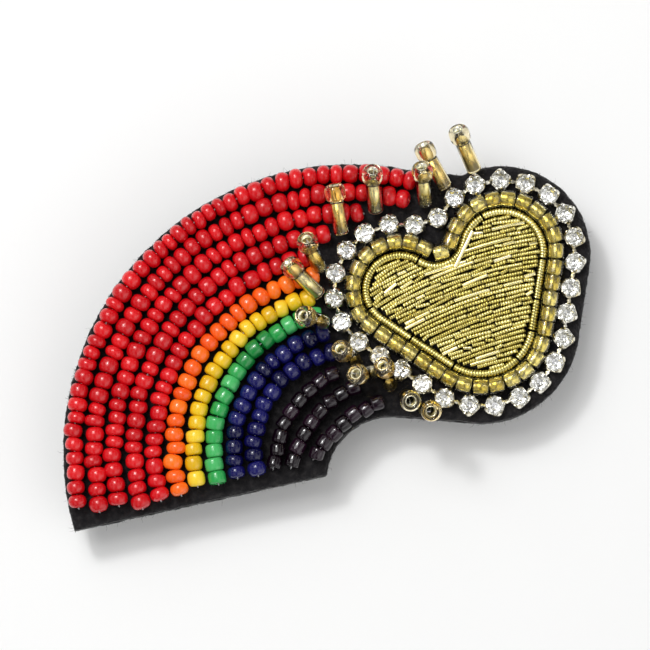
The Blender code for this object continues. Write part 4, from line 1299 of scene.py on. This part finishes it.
def look_at(item, place, target, up):
    item.location = place
    back = (place - target).normalized()
    right = up.cross(back).normalized()
    top = back.cross(right)
    item.rotation_euler = Matrix((right, top, back)).transposed().to_euler()


def add_camera():
    data = bpy.data.cameras.new("camera")
    data.sensor_width = SENSOR
    data.lens = SENSOR * VIEW_DISTANCE / VIEW_WIDTH
    data.clip_start = 0.01
    camera = new_object("camera", data)
    _, up = picture_axes()
    tilt = math.radians(VIEW_TILT)
    back = Vector((0.0, 0.0, math.cos(tilt))) - up * math.sin(tilt)
    look_at(camera, AIM + back * VIEW_DISTANCE, AIM, up)
    bpy.context.scene.camera = camera


def add_area_light(name, way, distance, size, power):
    data = bpy.data.lights.new(name, "AREA")
    data.shape = "SQUARE"
    data.size = size
    data.energy = power
    light = new_object(name, data)
    _, up = picture_axes()
    look_at(light, AIM + way.normalized() * distance, AIM, up)


def add_studio_world():
    """Soft light panels round the room, so that cut glass and metal have something to mirror."""
    world = bpy.data.worlds.new("studio")
    world.use_nodes = True
    nodes, links = world.node_tree.nodes, world.node_tree.links
    place = nodes.new("ShaderNodeTexCoord")
    panels = nodes.new("ShaderNodeTexNoise")
    panels.inputs["Scale"].default_value = 3.2
    panels.inputs["Detail"].default_value = 0.0
    ramp = nodes.new("ShaderNodeValToRGB")
    ramp.color_ramp.elements[0].position = 0.42
    ramp.color_ramp.elements[0].color = (0.10, 0.10, 0.10, 1.0)
    ramp.color_ramp.elements[1].position = 0.55
    ramp.color_ramp.elements[1].color = (1.0, 1.0, 1.0, 1.0)
    links.new(place.outputs["Generated"], panels.inputs["Vector"])
    links.new(panels.outputs["Fac"], ramp.inputs["Fac"])
    links.new(ramp.outputs["Color"], nodes["Background"].inputs["Color"])
    nodes["Background"].inputs["Strength"].default_value = 0.78
    bpy.context.scene.world = world


def add_stage(looks):
    right, up = picture_axes()
    overhead = Vector((0.0, 0.0, 1.0))
    add_area_light("window", overhead * 1.0 - right * 0.36 + up * 0.36, 0.6, 0.34, 1.6)
    add_area_light("sparkle", overhead * 1.0 - right * 0.40 + up * 0.44, 0.6, 0.075, 0.9)
    add_area_light("fill", overhead * 0.8 + right * 0.9 - up * 0.6, 0.9, 0.9, 2.1)
    add_studio_world()
    shape = bmesh.new()
    bmesh.ops.create_grid(shape, x_segments=40, y_segments=40, size=2.0)
    mesh = bpy.data.meshes.new("floor")
    shape.to_mesh(mesh)
    shape.free()
    mesh.materials.append(looks["floor"])
    floor = new_object("floor", mesh)
    bpy.context.scene.view_settings.view_transform = "Standard"


def finish_frame_nodes(looks):
    """The stiffener's CAD shape stays, with a board's finish."""
    node = frame["nodes"]["stiffener"]
    node.data.materials.clear()
    node.data.materials.append(looks["board"])


looks = make_materials()
add_camera()
add_stage(looks)
add_pin(looks)
add_stitches(looks)
add_felts(looks)
add_padding(looks)
add_fill(looks)
add_edging(looks)
add_border(looks)
add_cup_chain(looks)
add_rainbow(looks)
add_rays(looks)
finish_frame_nodes(looks)
